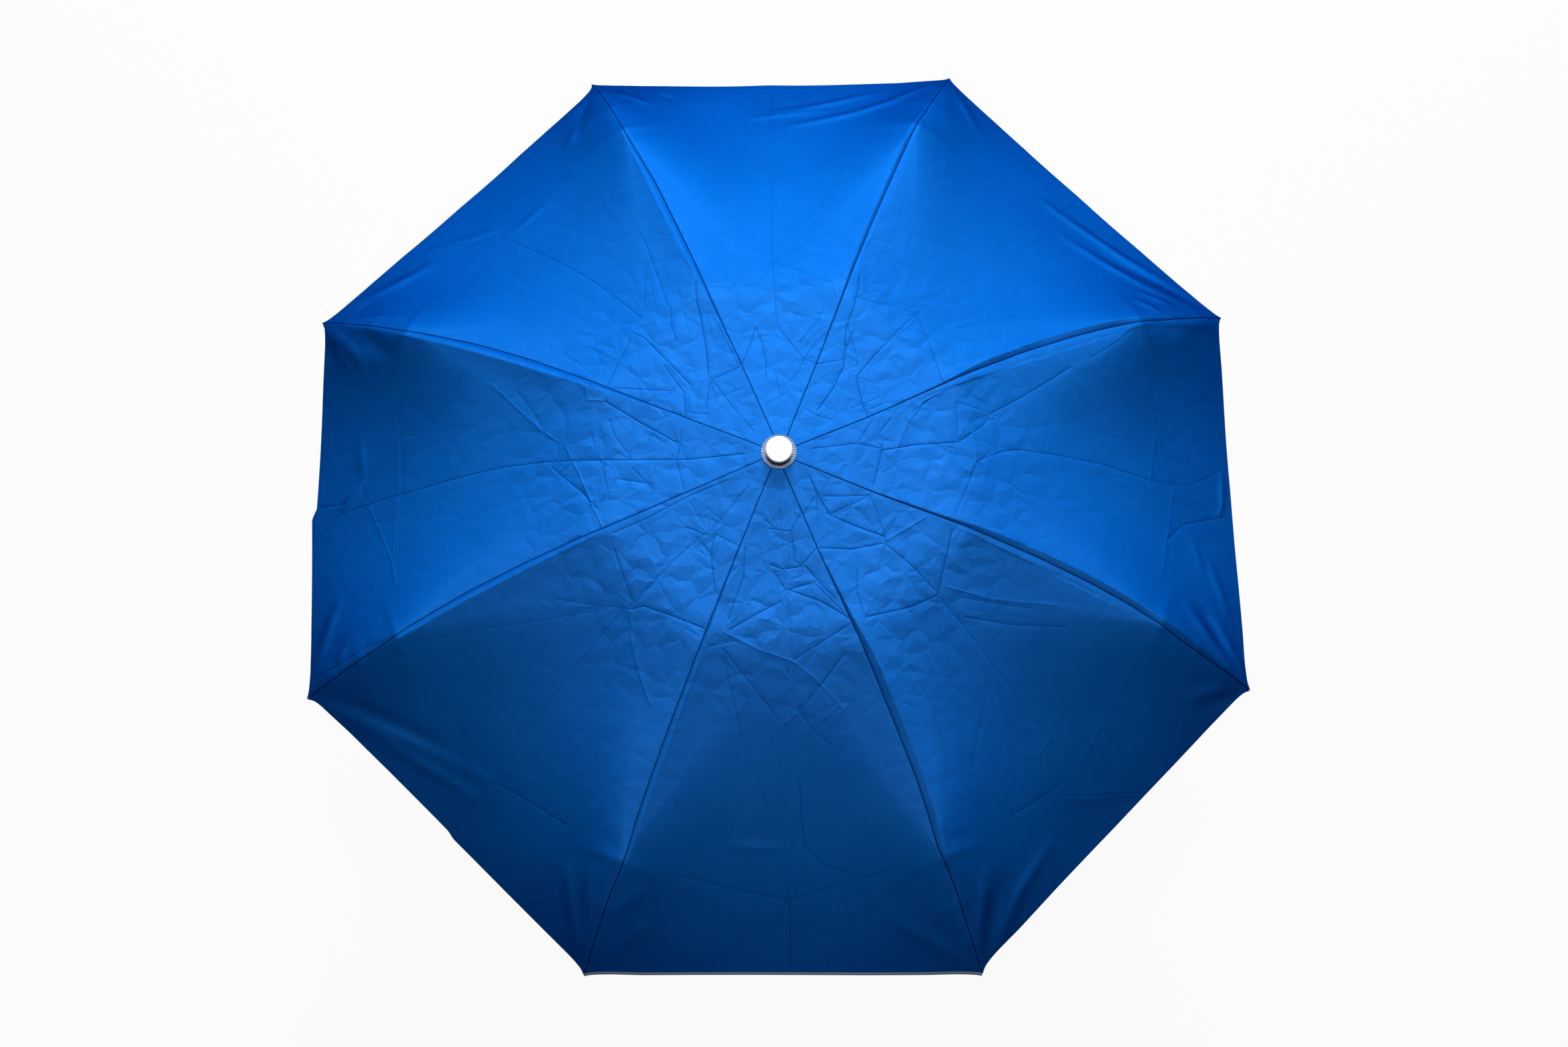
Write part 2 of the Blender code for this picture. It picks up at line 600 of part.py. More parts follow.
def build_tubes():
    """Three telescoping tubes; each moving one has its origin on the shaft's axis at its lower end."""
    bead_hole = (CATCH_WIDTH + 2 * CLEARANCE, 2 * (CATCH_BEAD_RADIUS + CLEARANCE))
    lower_bottom = HANDLE_LENGTH - SOCKET_DEPTH + CLEARANCE
    lower = tube_mesh(
        "lower_tube", LOWER_TUBE_RADIUS, LOWER_TUBE_TOP - lower_bottom,
        [(LOWER_BEAD_Z - lower_bottom, *bead_hole)],
    )
    middle = tube_mesh(
        "middle_tube", MIDDLE_TUBE_RADIUS, MIDDLE_TUBE_TOP - MIDDLE_TUBE_BOTTOM,
        [
            (LOWER_BEAD_Z - MIDDLE_TUBE_BOTTOM, *bead_hole),
            (MIDDLE_BEAD_Z - MIDDLE_TUBE_BOTTOM, *bead_hole),
        ],
    )
    pawl_slot = PAWL_LENGTH + 2 * CLEARANCE + PAWL_SWING_ROOM
    pawl_middle = PAWL_BOTTOM - CLEARANCE + pawl_slot / 2
    upper = tube_mesh(
        "upper_tube", UPPER_TUBE_RADIUS, NOTCH_Z + TUBE_ABOVE_NOTCH_WIRE - UPPER_TUBE_BOTTOM,
        [
            (MIDDLE_BEAD_Z - UPPER_TUBE_BOTTOM, *bead_hole),
            (pawl_middle - UPPER_TUBE_BOTTOM, PAWL_WIDTH + 2 * CLEARANCE, pawl_slot),
        ],
    )
    for name, mesh, bottom in (
        ("lower_tube", lower, lower_bottom),
        ("middle_tube", middle, MIDDLE_TUBE_BOTTOM),
        ("upper_tube", upper, UPPER_TUBE_BOTTOM),
    ):
        add_object(name, mesh, material(f"{name}_steel", (0.66, 0.67, 0.68), 0.22, 1.0), None, (0, 0, bottom))


def catch_face(tube_radius):
    """How far from the shaft's axis a flat catch strip can lie against a tube's bore."""
    return math.sqrt((tube_radius - TUBE_WALL) ** 2 - (CATCH_WIDTH / 2) ** 2) - CLEARANCE


def tube_catch(name, tube_radius, bead_height, look):
    """A leaf spring inside a tube, holding its bead out through the tube that slides over it."""
    face = catch_face(tube_radius)
    bead = CATCH_BEAD_RADIUS
    reach = tube_radius + CLEARANCE + TUBE_WALL + CATCH_BEAD_PROUD
    outline = [(face - CATCH_STRIP, -CATCH_LENGTH), (face, -CATCH_LENGTH), (face, -bead)]
    outline += arc(reach - bead, 0, bead, -90, 90, 4)
    outline += [(face, bead), (face - CATCH_STRIP, bead)]
    add_object(name, finish_mesh(extruded(outline, CATCH_WIDTH), name), look, None, (0, 0, bead_height))


def build_catches():
    """The two tube catches, and the sprung pawl that holds the runner up."""
    steel = material("spring_steel", (0.50, 0.50, 0.52), 0.35, 1.0)
    tube_catch("tube_catch_lower", LOWER_TUBE_RADIUS, LOWER_BEAD_Z, steel)
    tube_catch("tube_catch_upper", MIDDLE_TUBE_RADIUS, MIDDLE_BEAD_Z, steel)
    outline = [
        (-TUBE_WALL, 0),
        (0, 0),
        (PAWL_STAND, PAWL_LENGTH - PAWL_NOSE),
        (PAWL_STAND, PAWL_LENGTH),
        (-TUBE_WALL, PAWL_LENGTH),
    ]
    pawl = finish_mesh(extruded(outline, PAWL_WIDTH), "runner_catch")
    add_object("runner_catch", pawl, steel, None, (UPPER_TUBE_RADIUS, 0, PAWL_BOTTOM))


def build_handle():
    """Turned handle round the lower tube, its collar on top and its end plate below."""
    plastic = material("handle_plastic", (0.02, 0.02, 0.022), 0.38)
    socket = LOWER_TUBE_RADIUS + CLEARANCE
    plug = END_PLUG_RADIUS + CLEARANCE
    foot = END_PLATE_THICKNESS + CLEARANCE
    top = HANDLE_LENGTH - COLLAR_HEIGHT - CLEARANCE
    profile = [
        (0, foot + END_PLUG_DEPTH),
        (plug, foot + END_PLUG_DEPTH),
        (plug, foot),
        (HANDLE_GRIP_RADIUS - HANDLE_EDGE, foot),
    ]
    profile += arc(HANDLE_GRIP_RADIUS - HANDLE_EDGE, foot + HANDLE_EDGE, HANDLE_EDGE, -60, 0, 2)
    profile += [(radius, top * share) for radius, share in HANDLE_OUTLINE]
    profile += [
        (socket, top),
        (socket, HANDLE_LENGTH - SOCKET_DEPTH),
        (0, HANDLE_LENGTH - SOCKET_DEPTH),
    ]
    add_object("handle", finish_mesh(revolved(profile), "handle", 40), plastic)
    collar_bottom = HANDLE_LENGTH - COLLAR_HEIGHT
    collar = [(socket, collar_bottom)]
    collar += [(radius, collar_bottom + COLLAR_HEIGHT * share) for radius, share in COLLAR_OUTLINE]
    collar += [(socket, HANDLE_LENGTH)]
    chrome = material("collar_chrome", (0.75, 0.76, 0.78), 0.12, 1.0)
    add_object("handle_collar", finish_mesh(revolved(collar), "handle_collar", 40), chrome)
    plate = [
        (0, 0),
        (END_PLATE_RADIUS - END_PLATE_CHAMFER, 0),
        (END_PLATE_RADIUS, END_PLATE_CHAMFER),
        (END_PLATE_RADIUS, END_PLATE_THICKNESS),
        (END_PLUG_RADIUS, END_PLATE_THICKNESS),
        (END_PLUG_RADIUS, END_PLATE_THICKNESS + END_PLUG_DEPTH),
        (0, END_PLATE_THICKNESS + END_PLUG_DEPTH),
    ]
    dark = material("end_plate_plastic", (0.03, 0.03, 0.033), 0.30)
    add_object("handle_end_plate", finish_mesh(revolved(plate), "handle_end_plate", 40), dark)


def ridge_line():
    """The canopy's underside over one rib set, from the crown hole to the tip, as (radius, height)."""
    inner_top = INNER_ELBOW + turned(0, EYE_RADIUS + RIB_COVER, (INNER_SLOPE + MIDDLE_SLOPE) / 2)
    outer_lift = ELBOW_OFFSET + RIB_HALF_HEIGHT + RIB_COVER
    outer_top = OUTER_ELBOW + turned(0, outer_lift, (MIDDLE_SLOPE + OUTER_START_SLOPE) / 2)
    points = [(CANOPY_HOLE_RADIUS, CANOPY_CROWN), (FLANGE_RADIUS + CLEARANCE, CANOPY_CROWN)]
    crown = points[-1]
    for share in RIDGE_SHARES_INNER:
        points.append((crown[0] + (inner_top.x - crown[0]) * share, crown[1] + (inner_top.z - crown[1]) * share))
    for share in RIDGE_SHARES_MIDDLE:
        points.append((inner_top.x + (outer_top.x - inner_top.x) * share,
                       inner_top.z + (outer_top.z - inner_top.z) * share))
    for share in RIDGE_SHARES_OUTER:
        along, turn = outer_rib_point(OUTER_RIB_LENGTH * share)
        lift = TIP_RADIUS + RIB_COVER
        place = OUTER_ELBOW + turned(along.x, along.z, OUTER_START_SLOPE)
        place += turned(0, lift, OUTER_START_SLOPE + turn)
        if share == 1.0:
            place += turned(HEM_PAST_WIRE, 0, OUTER_START_SLOPE + turn)
        points.append((place.x, place.z))
    return points


def build_canopy():
    """Eight sewn panels: ridges over the ribs, taut hollow panels between them, a slightly hollow hem."""
    columns = PANEL_COLUMNS
    line = ridge_line()
    crown_x, rim_x = line[1][0], line[-1][0]
    bm = bmesh.new()
    rows = []
    for radius, height in line:
        share = max(0.0, (radius - crown_x) / (rim_x - crown_x))
        sag = PANEL_SAG * math.sin(math.pi * min(1.0, share * PANEL_SAG_REACH) ** PANEL_SAG_SKEW)
        hollow = HEM_HOLLOW * share**4
        flat = min(1.0, share / PANEL_FLAT_FROM)
        ring = []
        for gore in range(RIB_COUNT):
            start, end = STATION_ANGLES[gore], STATION_ANGLES[gore] + math.tau / RIB_COUNT
            a = Vector((math.cos(start), math.sin(start), 0)) * radius
            b = Vector((math.cos(end), math.sin(end), 0)) * radius
            for column in range(columns):
                s = column / columns
                bow = 4 * s * (1 - s)
                chord = a.lerp(b, s)
                round_angle = start + (end - start) * s
                circle = Vector((math.cos(round_angle), math.sin(round_angle), 0)) * radius
                place = circle.lerp(chord, flat)
                place -= place.normalized() * hollow * bow
                ring.append(bm.verts.new((place.x, place.y, height - sag * bow)))
        rows.append(ring)
    for inner, outer in zip(rows, rows[1:]):
        count = len(inner)
        for i in range(count):
            j = (i + 1) % count
            bm.faces.new((inner[i], outer[i], outer[j], inner[j]))
    mesh = finish_mesh(bm, "canopy")
    if mesh.polygons[0].normal.z < 0:
        mesh.flip_normals()
    mesh.shade_smooth()
    mesh.set_sharp_from_angle(angle=math.radians(25))
    canopy = add_object("canopy", mesh, material("canopy_fabric", (0.0, 0.17, 0.65), 0.55))
    thick = canopy.modifiers.new("thickness", "SOLIDIFY")
    thick.thickness = CANOPY_THICKNESS
    thick.offset = 1.0
    thick.use_even_offset = True


def build_washer():
    """Thin disc with a pleated edge, clamped between canopy and cap."""
    steps = 2 * WASHER_PLEATS
    bm = bmesh.new()
    hole = STUD_RADIUS + CLEARANCE
    outer = []
    inner = []
    for i in range(steps):
        angle = math.tau * i / steps
        radius = WASHER_RADIUS - (WASHER_PLEAT_DEPTH if i % 2 else 0.0)
        outer.append(bm.verts.new((radius * math.cos(angle), radius * math.sin(angle), 0)))
        if i % 5 == 0:
            inner.append(bm.verts.new((hole * math.cos(angle), hole * math.sin(angle), 0)))
    for j, vert in enumerate(inner):
        following = inner[(j + 1) % len(inner)]
        fan = [outer[(5 * j + k) % steps] for k in range(6)]
        bm.faces.new([vert] + fan + [following])
    swept = bmesh.ops.extrude_face_region(bm, geom=list(bm.faces))
    verts = [v for v in swept["geom"] if isinstance(v, bmesh.types.BMVert)]
    bmesh.ops.translate(bm, verts=verts, vec=(0, 0, WASHER_THICKNESS))
    look = material("washer_plastic", (0.35, 0.42, 0.60), 0.25, 0.0, 0.7)
    add_object("canopy_washer", finish_mesh(bm, "canopy_washer"), look, None, (0, 0, WASHER_BOTTOM))


def build_cap():
    """Domed cap pushed on the notch's stud."""
    socket = STUD_RADIUS + CLEARANCE
    socket_top = NOTCH_DISC_TOP + STUD_HEIGHT + CLEARANCE - CAP_BOTTOM
    profile = [(0, socket_top), (socket, socket_top), (socket, 0), (CAP_RADIUS - CAP_FOOT_CHAMFER, 0)]
    for i in range(CAP_STEPS + 1):
        a = math.pi / 2 * i / CAP_STEPS
        profile.append((CAP_RADIUS * math.cos(a), CAP_RIM + (CAP_HEIGHT - CAP_RIM) * math.sin(a)))
    profile[-1] = (0, CAP_HEIGHT)
    add_object("top_cap", finish_mesh(revolved(profile), "top_cap", 50),
               material("cap_plastic", (0.92, 0.92, 0.92), 0.18), None, (0, 0, CAP_BOTTOM))


def main():
    clear_scene()
    plastic = material("hub_plastic", (0.03, 0.03, 0.035), 0.42)
    wire = material("ring_wire_steel", (0.55, 0.55, 0.57), 0.30, 1.0)
    build_handle()
    build_tubes()
    build_catches()
    build_notch(plastic, wire)
    build_runner(plastic, wire)
    build_rib_sets()
    build_canopy()
    build_washer()
    build_cap()


main()
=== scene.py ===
import math

import bmesh
import bpy
import numpy as np
from mathutils import Matrix, Vector


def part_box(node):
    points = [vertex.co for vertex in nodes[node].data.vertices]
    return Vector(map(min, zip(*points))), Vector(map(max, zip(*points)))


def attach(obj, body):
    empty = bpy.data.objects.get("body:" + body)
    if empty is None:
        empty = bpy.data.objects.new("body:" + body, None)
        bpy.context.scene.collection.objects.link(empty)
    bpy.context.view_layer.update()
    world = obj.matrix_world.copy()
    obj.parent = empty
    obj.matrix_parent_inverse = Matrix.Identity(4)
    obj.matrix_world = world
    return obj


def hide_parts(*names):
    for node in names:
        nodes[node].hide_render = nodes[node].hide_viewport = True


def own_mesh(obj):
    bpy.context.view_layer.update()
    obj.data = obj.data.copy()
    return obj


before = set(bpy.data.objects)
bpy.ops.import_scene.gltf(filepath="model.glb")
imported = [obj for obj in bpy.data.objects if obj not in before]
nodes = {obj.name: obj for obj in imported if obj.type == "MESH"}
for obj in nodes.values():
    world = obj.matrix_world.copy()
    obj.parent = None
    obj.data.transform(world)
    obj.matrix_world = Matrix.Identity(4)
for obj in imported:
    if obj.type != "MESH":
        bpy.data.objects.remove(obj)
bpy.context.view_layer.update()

# Camera: looks down on the opened canopy from about 76 degrees above the floor, aimed at the cap.
# Lens, roll and shift are those at which the canopy's corners and its centre fall where they do
# in the photograph.
picture_width = 2349
focal_pixels = 2998.4
shift_right, shift_up = 7.6, -109.0
aim = Vector((0, 0, 0.5551))
distance = 1.7494
elevation, heading, roll = math.radians(75.736), math.radians(3.547), math.radians(2.978)
forward = Vector((
    math.cos(elevation) * math.sin(heading),
    math.cos(elevation) * math.cos(heading),
    -math.sin(elevation),
))
camera_data = bpy.data.cameras.new("camera")
camera = bpy.data.objects.new("camera", camera_data)
bpy.context.scene.collection.objects.link(camera)
camera.rotation_mode = "QUATERNION"
camera.location = aim - forward * distance
turn = forward.to_track_quat("-Z", "Y").to_matrix()
camera.rotation_quaternion = (turn @ Matrix.Rotation(roll, 3, "Z")).to_quaternion()
camera_data.sensor_width = 36
camera_data.lens = 36 * focal_pixels / picture_width
camera_data.shift_x = shift_right / picture_width
camera_data.shift_y = shift_up / picture_width
camera_data.clip_start, camera_data.clip_end = 0.05, 50
bpy.context.scene.camera = camera

# Studio: a pale floor that curves up into a wall all round, a broad soft lamp behind the umbrella, a
# smaller one over it and a faint one at its side, in a dim room. Floor and wall are plain white
# where the camera, a mirror or glass looks at them, and the floor keeps a faint shadow.
scene = bpy.context.scene
scene.view_settings.view_transform = "Standard"


def soft_lamp(name, place, size, watts):
    """A square lamp that faces the middle of the canopy."""
    data = bpy.data.lights.new(name, "AREA")
    data.shape, data.size, data.energy = "SQUARE", size, watts
    lamp = bpy.data.objects.new(name, data)
    scene.collection.objects.link(lamp)
    lamp.location = place
    lamp.rotation_euler = (canopy_middle - Vector(place)).to_track_quat("-Z", "Y").to_euler()
    lamp.visible_camera = False


def as_object(name, bm):
    """A finished mesh as an object in the scene."""
    mesh = bpy.data.meshes.new(name)
    bm.to_mesh(mesh)
    bm.free()
    made = bpy.data.objects.new(name, mesh)
    scene.collection.objects.link(made)
    return made


def face_up(bm):
    """Turns a sheet's faces all one way, with the upper side outwards."""
    bmesh.ops.recalc_face_normals(bm, faces=bm.faces)
    if sum(face.normal.z for face in bm.faces) < 0:
        bmesh.ops.reverse_faces(bm, faces=bm.faces)


def move_out(vert, times):
    """Moves a vertex to so many times its distance from the shaft's axis."""
    vert.co.x *= times
    vert.co.y *= times


def new_material(name):
    """A material, with its node tree and its Principled shader."""
    made = bpy.data.materials.new(name)
    made.use_nodes = True
    return made, made.node_tree, made.node_tree.nodes["Principled BSDF"]


def fill(tree, node, inputs):
    """Puts plain values, or what other sockets give, into a node's inputs."""
    for name, value in inputs.items():
        if isinstance(value, bpy.types.NodeSocket):
            tree.links.new(value, node.inputs[name])
        else:
            node.inputs[name].default_value = value


def add_node(tree, kind, inputs, **settings):
    """The outputs of a new node with these inputs and settings."""
    made = tree.nodes.new("ShaderNode" + kind)
    for name, value in settings.items():
        setattr(made, name, value)
    fill(tree, made, inputs)
    return made.outputs


def calc(tree, operation, *values):
    """A sum on sockets or plain numbers."""
    return add_node(tree, "Math", dict(enumerate(values)), operation=operation)[0]


canopy_middle = Vector((0, 0, 0.5))
soft_lamp("back_lamp", (0.10, 2.85, 1.95), 1.3, 142)
soft_lamp("top_lamp", (0, 0.31, 2.48), 0.3, 18)
soft_lamp("side_lamp", (1.50, 2.60, 1.60), 1.2, 7)
world = bpy.data.worlds.new("room")
scene.world = world
world.use_nodes = True
dim = world.node_tree.nodes["Background"]
dim.inputs["Color"].default_value = (0.75, 0.85, 1.0, 1)
dim.inputs["Strength"].default_value = 0.015

floor_mesh = bmesh.new()
wall_profile = [(0, 0), (4.2, 0), (4.9, 0.08), (5.4, 0.35), (5.8, 0.90), (6.0, 1.80), (6.0, 3.20)]
floor_drop = 0.0005
line = [floor_mesh.verts.new((radius, 0, height - floor_drop)) for radius, height in wall_profile]
bmesh.ops.spin(
    floor_mesh, geom=line + [floor_mesh.edges.new(pair) for pair in zip(line, line[1:])],
    axis=(0, 0, 1), cent=(0, 0, 0), angle=math.tau, steps=96, use_merge=True,
)
bmesh.ops.remove_doubles(floor_mesh, verts=floor_mesh.verts, dist=1e-5)
face_up(floor_mesh)
floor = as_object("floor", floor_mesh)
floor.data.shade_smooth()
floor_paint, tree, matt = new_material("floor_paint")
fill(tree, matt, {"Base Color": (0.55, 0.55, 0.56, 1), "Roughness": 0.9})
white_share = 0.94
rays = add_node(tree, "LightPath", {})
looked_at = calc(tree, "ADD", rays["Is Camera Ray"], rays["Is Glossy Ray"])
or_through = calc(tree, "MINIMUM", calc(tree, "ADD", looked_at, rays["Is Transmission Ray"]), 1.0)
white = add_node(tree, "Emission", {})[0]
mixed = {0: calc(tree, "MULTIPLY", or_through, white_share), 1: matt.outputs[0], 2: white}
fill(tree, tree.nodes["Material Output"], {"Surface": add_node(tree, "MixShader", mixed)[0]})
floor.data.materials.append(floor_paint)

# Handle: a short turned grip of soft-touch black plastic with a rounded foot, moulded round the end
# of the lower tube.


def noise(tree, vector, scale, detail=3.0, roughness=0.5):
    """A noise texture reading a vector, in cycles a metre."""
    inputs = {"Vector": vector, "Scale": scale, "Detail": detail, "Roughness": roughness}
    return add_node(tree, "TexNoise", inputs)["Fac"]


def spread(tree, value, low, high, start=0.3, stop=0.7):
    """Stretches a value that runs from start to stop, as noise does round a half, over low to high."""
    inputs = {"Value": value, "From Min": start, "From Max": stop, "To Min": low, "To Max": high}
    return add_node(tree, "MapRange", inputs)["Result"]


def bump(tree, height, depth, strength=1.0, onto=None):
    """A bump of a depth in metres, laid over another normal if there is one."""
    inputs = {"Height": height, "Distance": depth, "Strength": strength}
    if onto is not None:
        inputs["Normal"] = onto
    return add_node(tree, "Bump", inputs)["Normal"]


def shade(tree, share, low, high, kind="MIX"):
    """A colour between two by a share, or one laid over the other; each is plain or a socket."""
    low, high = [(*colour, 1) if isinstance(colour, tuple) else colour for colour in (low, high)]
    return add_node(tree, "Mix", {0: share, 6: low, 7: high}, data_type="RGBA", blend_type=kind)[2]


handling = bpy.data.node_groups.new("handling_marks", "ShaderNodeTree")
for way, label, kind in (
    ("INPUT", "Vector", "Vector"), ("INPUT", "Scale", "Float"),
    ("OUTPUT", "Mask", "Float"), ("OUTPUT", "Fine", "Float"),
):
    handling.interface.new_socket(label, in_out=way, socket_type="NodeSocket" + kind)
given = handling.nodes.new("NodeGroupInput").outputs
wide = noise(handling, given["Vector"], given["Scale"], 4.0)
fine = noise(handling, given["Vector"], calc(handling, "MULTIPLY", given["Scale"], 22.0), 2.0)
fill(handling, handling.nodes.new("NodeGroupOutput"), {
    "Mask": spread(handling, wide, 0.0, 1.0),
    "Fine": spread(handling, fine, 0.0, 1.0),
})


def handling_marks(tree, place, scale):
    """The shared marks of handling, at so many patches a metre: broad patches and fine grain."""
    marks = add_node(tree, "Group", {"Vector": place, "Scale": scale}, node_tree=handling)
    return marks["Mask"], marks["Fine"]


def moulded_plastic(name, colour, wear_and_crease_shade, roughness, grain=0.00003, coat=0.0):
    """Moulded plastic: a fine spark-eroded grain, and patches rubbed smoother and paler by handling."""
    made, tree, shader = new_material(name)
    patches, grains = handling_marks(tree, add_node(tree, "TexCoord", {})["Object"], 60.0)
    fill(tree, shader, {
        "Base Color": shade(tree, patches, colour, wear_and_crease_shade),
        "Roughness": spread(tree, patches, roughness + 0.06, roughness - 0.08, 0.0, 1.0),
        "Normal": bump(tree, grains, grain, 0.6),
        "Coat Weight": coat,
        "Coat Roughness": 0.08,
    })
    return made


def piece(name, bm, look, body, stands_for, smooth=35):
    """Makes a finished mesh into a piece that rides on a body in place of a solid."""
    made = as_object(name, bm)
    made.data.shade_smooth()
    made.data.set_sharp_from_angle(angle=math.radians(smooth))
    made.data.materials.append(look)
    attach(made, body)
    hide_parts(stands_for)


on_axis = 1e-7


def spun(profile, sides=96):
    """Spins a closed outline of radii and heights round the shaft's axis."""
    bm = bmesh.new()
    ring = [bm.verts.new((radius, 0, height)) for radius, height in profile]
    edges = [bm.edges.new(pair) for pair in zip(ring, ring[1:] + ring[:1])]
    for edge in [e for e in edges if all(v.co.x < on_axis for v in e.verts)]:
        bm.edges.remove(edge)
    bmesh.ops.spin(
        bm, geom=list(bm.verts) + list(bm.edges), axis=(0, 0, 1), cent=(0, 0, 0),
        angle=math.tau, steps=sides, use_merge=True,
    )
    bmesh.ops.remove_doubles(bm, verts=bm.verts, dist=1e-6)
    bmesh.ops.recalc_face_normals(bm, faces=bm.faces)
    return bm


def rounded(points, radius, steps=4):
    """Rounds each corner of a closed outline by a radius, less where its sides are short."""
    soft = []
    for i, corner in enumerate(points):
        corner = Vector((*corner, 0))
        before, after = Vector((*points[i - 1], 0)), Vector((*points[(i + 1) % len(points)], 0))
        if corner.x < on_axis:
            soft.append((corner.x, corner.y))
            continue
        to_before, to_after = before - corner, after - corner
        cut = min(radius, to_before.length * 0.45, to_after.length * 0.45)
        start = corner + to_before.normalized() * cut
        end = corner + to_after.normalized() * cut
        for k in range(steps + 1):
            t = k / steps
            spot = start * (1 - t) ** 2 + corner * 2 * t * (1 - t) + end * t**2
            soft.append((spot.x, spot.y))
    return soft


grip_black = moulded_plastic("grip_black", (0.016, 0.016, 0.018), (0.030, 0.030, 0.033), 0.46, 0.00005)
handle_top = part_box("handle")[1].z
socket_radius = 0.0050
grip_outline = [
    (0, 0.0088), (0.0083, 0.0088), (0.0083, 0.0028), (0.0144, 0.0028), (0.0172, 0.0058),
    (0.0172, 0.0170), (0.0165, 0.0235), (0.0157, 0.0290), (0.0152, 0.0350), (0.0153, 0.0400),
    (0.0156, 0.0432), (0.0155, 0.0480), (0.0151, 0.0530), (0.0137, 0.0556), (0.0125, handle_top),
    (socket_radius, handle_top), (socket_radius, 0.0260), (0, 0.0260),
]
flute_count, flute_depth, flutes_low, flutes_high = 24, 0.00028, 0.010, 0.050
grip = spun(rounded(grip_outline, 0.0016), 128)
for vert in grip.verts:
    out = math.hypot(vert.co.x, vert.co.y)
    if out > 0.0140 and flutes_low < vert.co.z < flutes_high:
        swell = math.sin(math.pi * (vert.co.z - flutes_low) / (flutes_high - flutes_low))
        turned = flute_count * math.atan2(vert.co.y, vert.co.x)
        groove = flute_depth * swell * (0.5 - 0.5 * math.cos(turned)) ** 3
        move_out(vert, 1 - groove / out)
piece("grip_moulding", grip, grip_black, "grip", "handle")

# End plate: a separate disc of glossier plastic pressed into the foot of the grip, dished a little so
# that the umbrella stands on its edge.
plate_black = moulded_plastic("plate_black", (0.020, 0.020, 0.022), (0.034, 0.034, 0.036), 0.30, 0.00002)
plate_outline = [
    (0, 0.0007), (0.0098, 0.0007), (0.0106, 0), (0.0127, 0), (0.0135, 0.0008), (0.0135, 0.0025),
    (0.0080, 0.0025), (0.0080, 0.0085), (0, 0.0085),
]
plate = spun(rounded(plate_outline, 0.0004))
piece("foot_plate", plate, plate_black, "grip", "handle_end_plate")

# Collar: a bright plated cup on top of the grip, with a rolled lip that the tube comes out of.


def stretched(tree, vector, scale):
    """A vector scaled along each axis."""
    return add_node(tree, "Mapping", {"Vector": vector, "Scale": scale})["Vector"]


def plated_metal(name, colour, dull, roughness, along=(260, 260, 9), depth=0.00001):
    """Plated or drawn metal: fine lines along the piece, and duller patches."""
    made, tree, shader = new_material(name)
    place = add_node(tree, "TexCoord", {})["Object"]
    lines = noise(tree, stretched(tree, place, along), 5.0, 4.0, 0.6)
    fill(tree, shader, {
        "Base Color": shade(tree, handling_marks(tree, place, 35.0)[0], colour, dull),
        "Metallic": 1.0,
        "Roughness": calc(tree, "ADD", spread(tree, lines, -0.05, 0.07), roughness),
        "Normal": bump(tree, lines, depth, 0.5),
    })
    return made


collar_chrome = plated_metal("collar_chrome", (0.72, 0.73, 0.75), (0.62, 0.63, 0.66), 0.12)
collar_outline = [
    (socket_radius, 0.0570), (0.0092, 0.0570), (0.0092, 0.0594), (0.0089, 0.0600), (0.0092, 0.0606),
    (0.0084, 0.0612), (0.0080, 0.0620), (0.0060, 0.0620), (socket_radius, 0.0616),
]
collar = spun(rounded(collar_outline, 0.0003))
piece("collar_cup", collar, collar_chrome, "grip", "handle_collar")

# Shaft: three bright plated steel tubes, each sliding in the next wider one above it, with turned-in
# ends and a hole for each catch's bead.
tube_wall, punch_reach = 0.0006, 0.003
tube_plating = plated_metal("tube_plating", (0.66, 0.67, 0.69), (0.56, 0.57, 0.60), 0.20)


def shaft_tube(name, node, body, outer, holes, lip):
    """A thin tube as tall as its node, with side holes given as height, width and length."""
    low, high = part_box(node)
    inner = outer - tube_wall
    outline = [
        (inner, low.z), (outer, low.z), (outer, high.z - lip), (outer - lip * 0.6, high.z), (inner, high.z),
    ]
    blank = as_object(name + "_blank", spun(rounded(outline, 0.0002, 3), 72))
    punches = []
    for height, width, tall in holes:
        punch = bmesh.new()
        place = Matrix.Translation((outer, 0, height)) @ Matrix.Diagonal((punch_reach, width, tall, 1))
        bmesh.ops.create_cube(punch, size=1, matrix=place)
        along = [e for e in punch.edges if abs(e.verts[0].co.x - e.verts[1].co.x) > punch_reach / 3]
        bmesh.ops.bevel(
            punch, geom=along, offset=width * 0.2, offset_type="OFFSET", segments=4, profile=0.5,
            affect="EDGES", material=-1,
        )
        tool = as_object(name + "_punch", punch)
        cut = blank.modifiers.new("hole", "BOOLEAN")
        cut.operation, cut.solver, cut.object = "DIFFERENCE", "EXACT", tool
        punches.append(tool)
    bpy.context.view_layer.update()
    punched = blank.evaluated_get(bpy.context.evaluated_depsgraph_get()).to_mesh()
    done = bmesh.new()
    done.from_mesh(punched)
    for spent in [blank] + punches:
        bpy.data.objects.remove(spent, do_unlink=True)
    piece(name, done, tube_plating, body, node, smooth=30)


bead_size = (0.0029, 0.0032)
lower_bead, upper_bead = (0.224, *bead_size), (0.379, *bead_size)
pawl_low, pawl_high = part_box("runner_catch")
pawl_slot = ((pawl_low.z + pawl_high.z) / 2 + 0.0004, 0.0028, pawl_high.z - pawl_low.z + 0.0014)
shaft_tube("lower_shaft", "lower_tube", "grip", 0.0047, [lower_bead], 0.0006)
shaft_tube("middle_shaft", "middle_tube", "middle_stage", 0.0056, [lower_bead, upper_bead], 0.0006)
shaft_tube("upper_shaft", "upper_tube", "upper_stage", 0.0065, [upper_bead, pawl_slot], 0.0004)

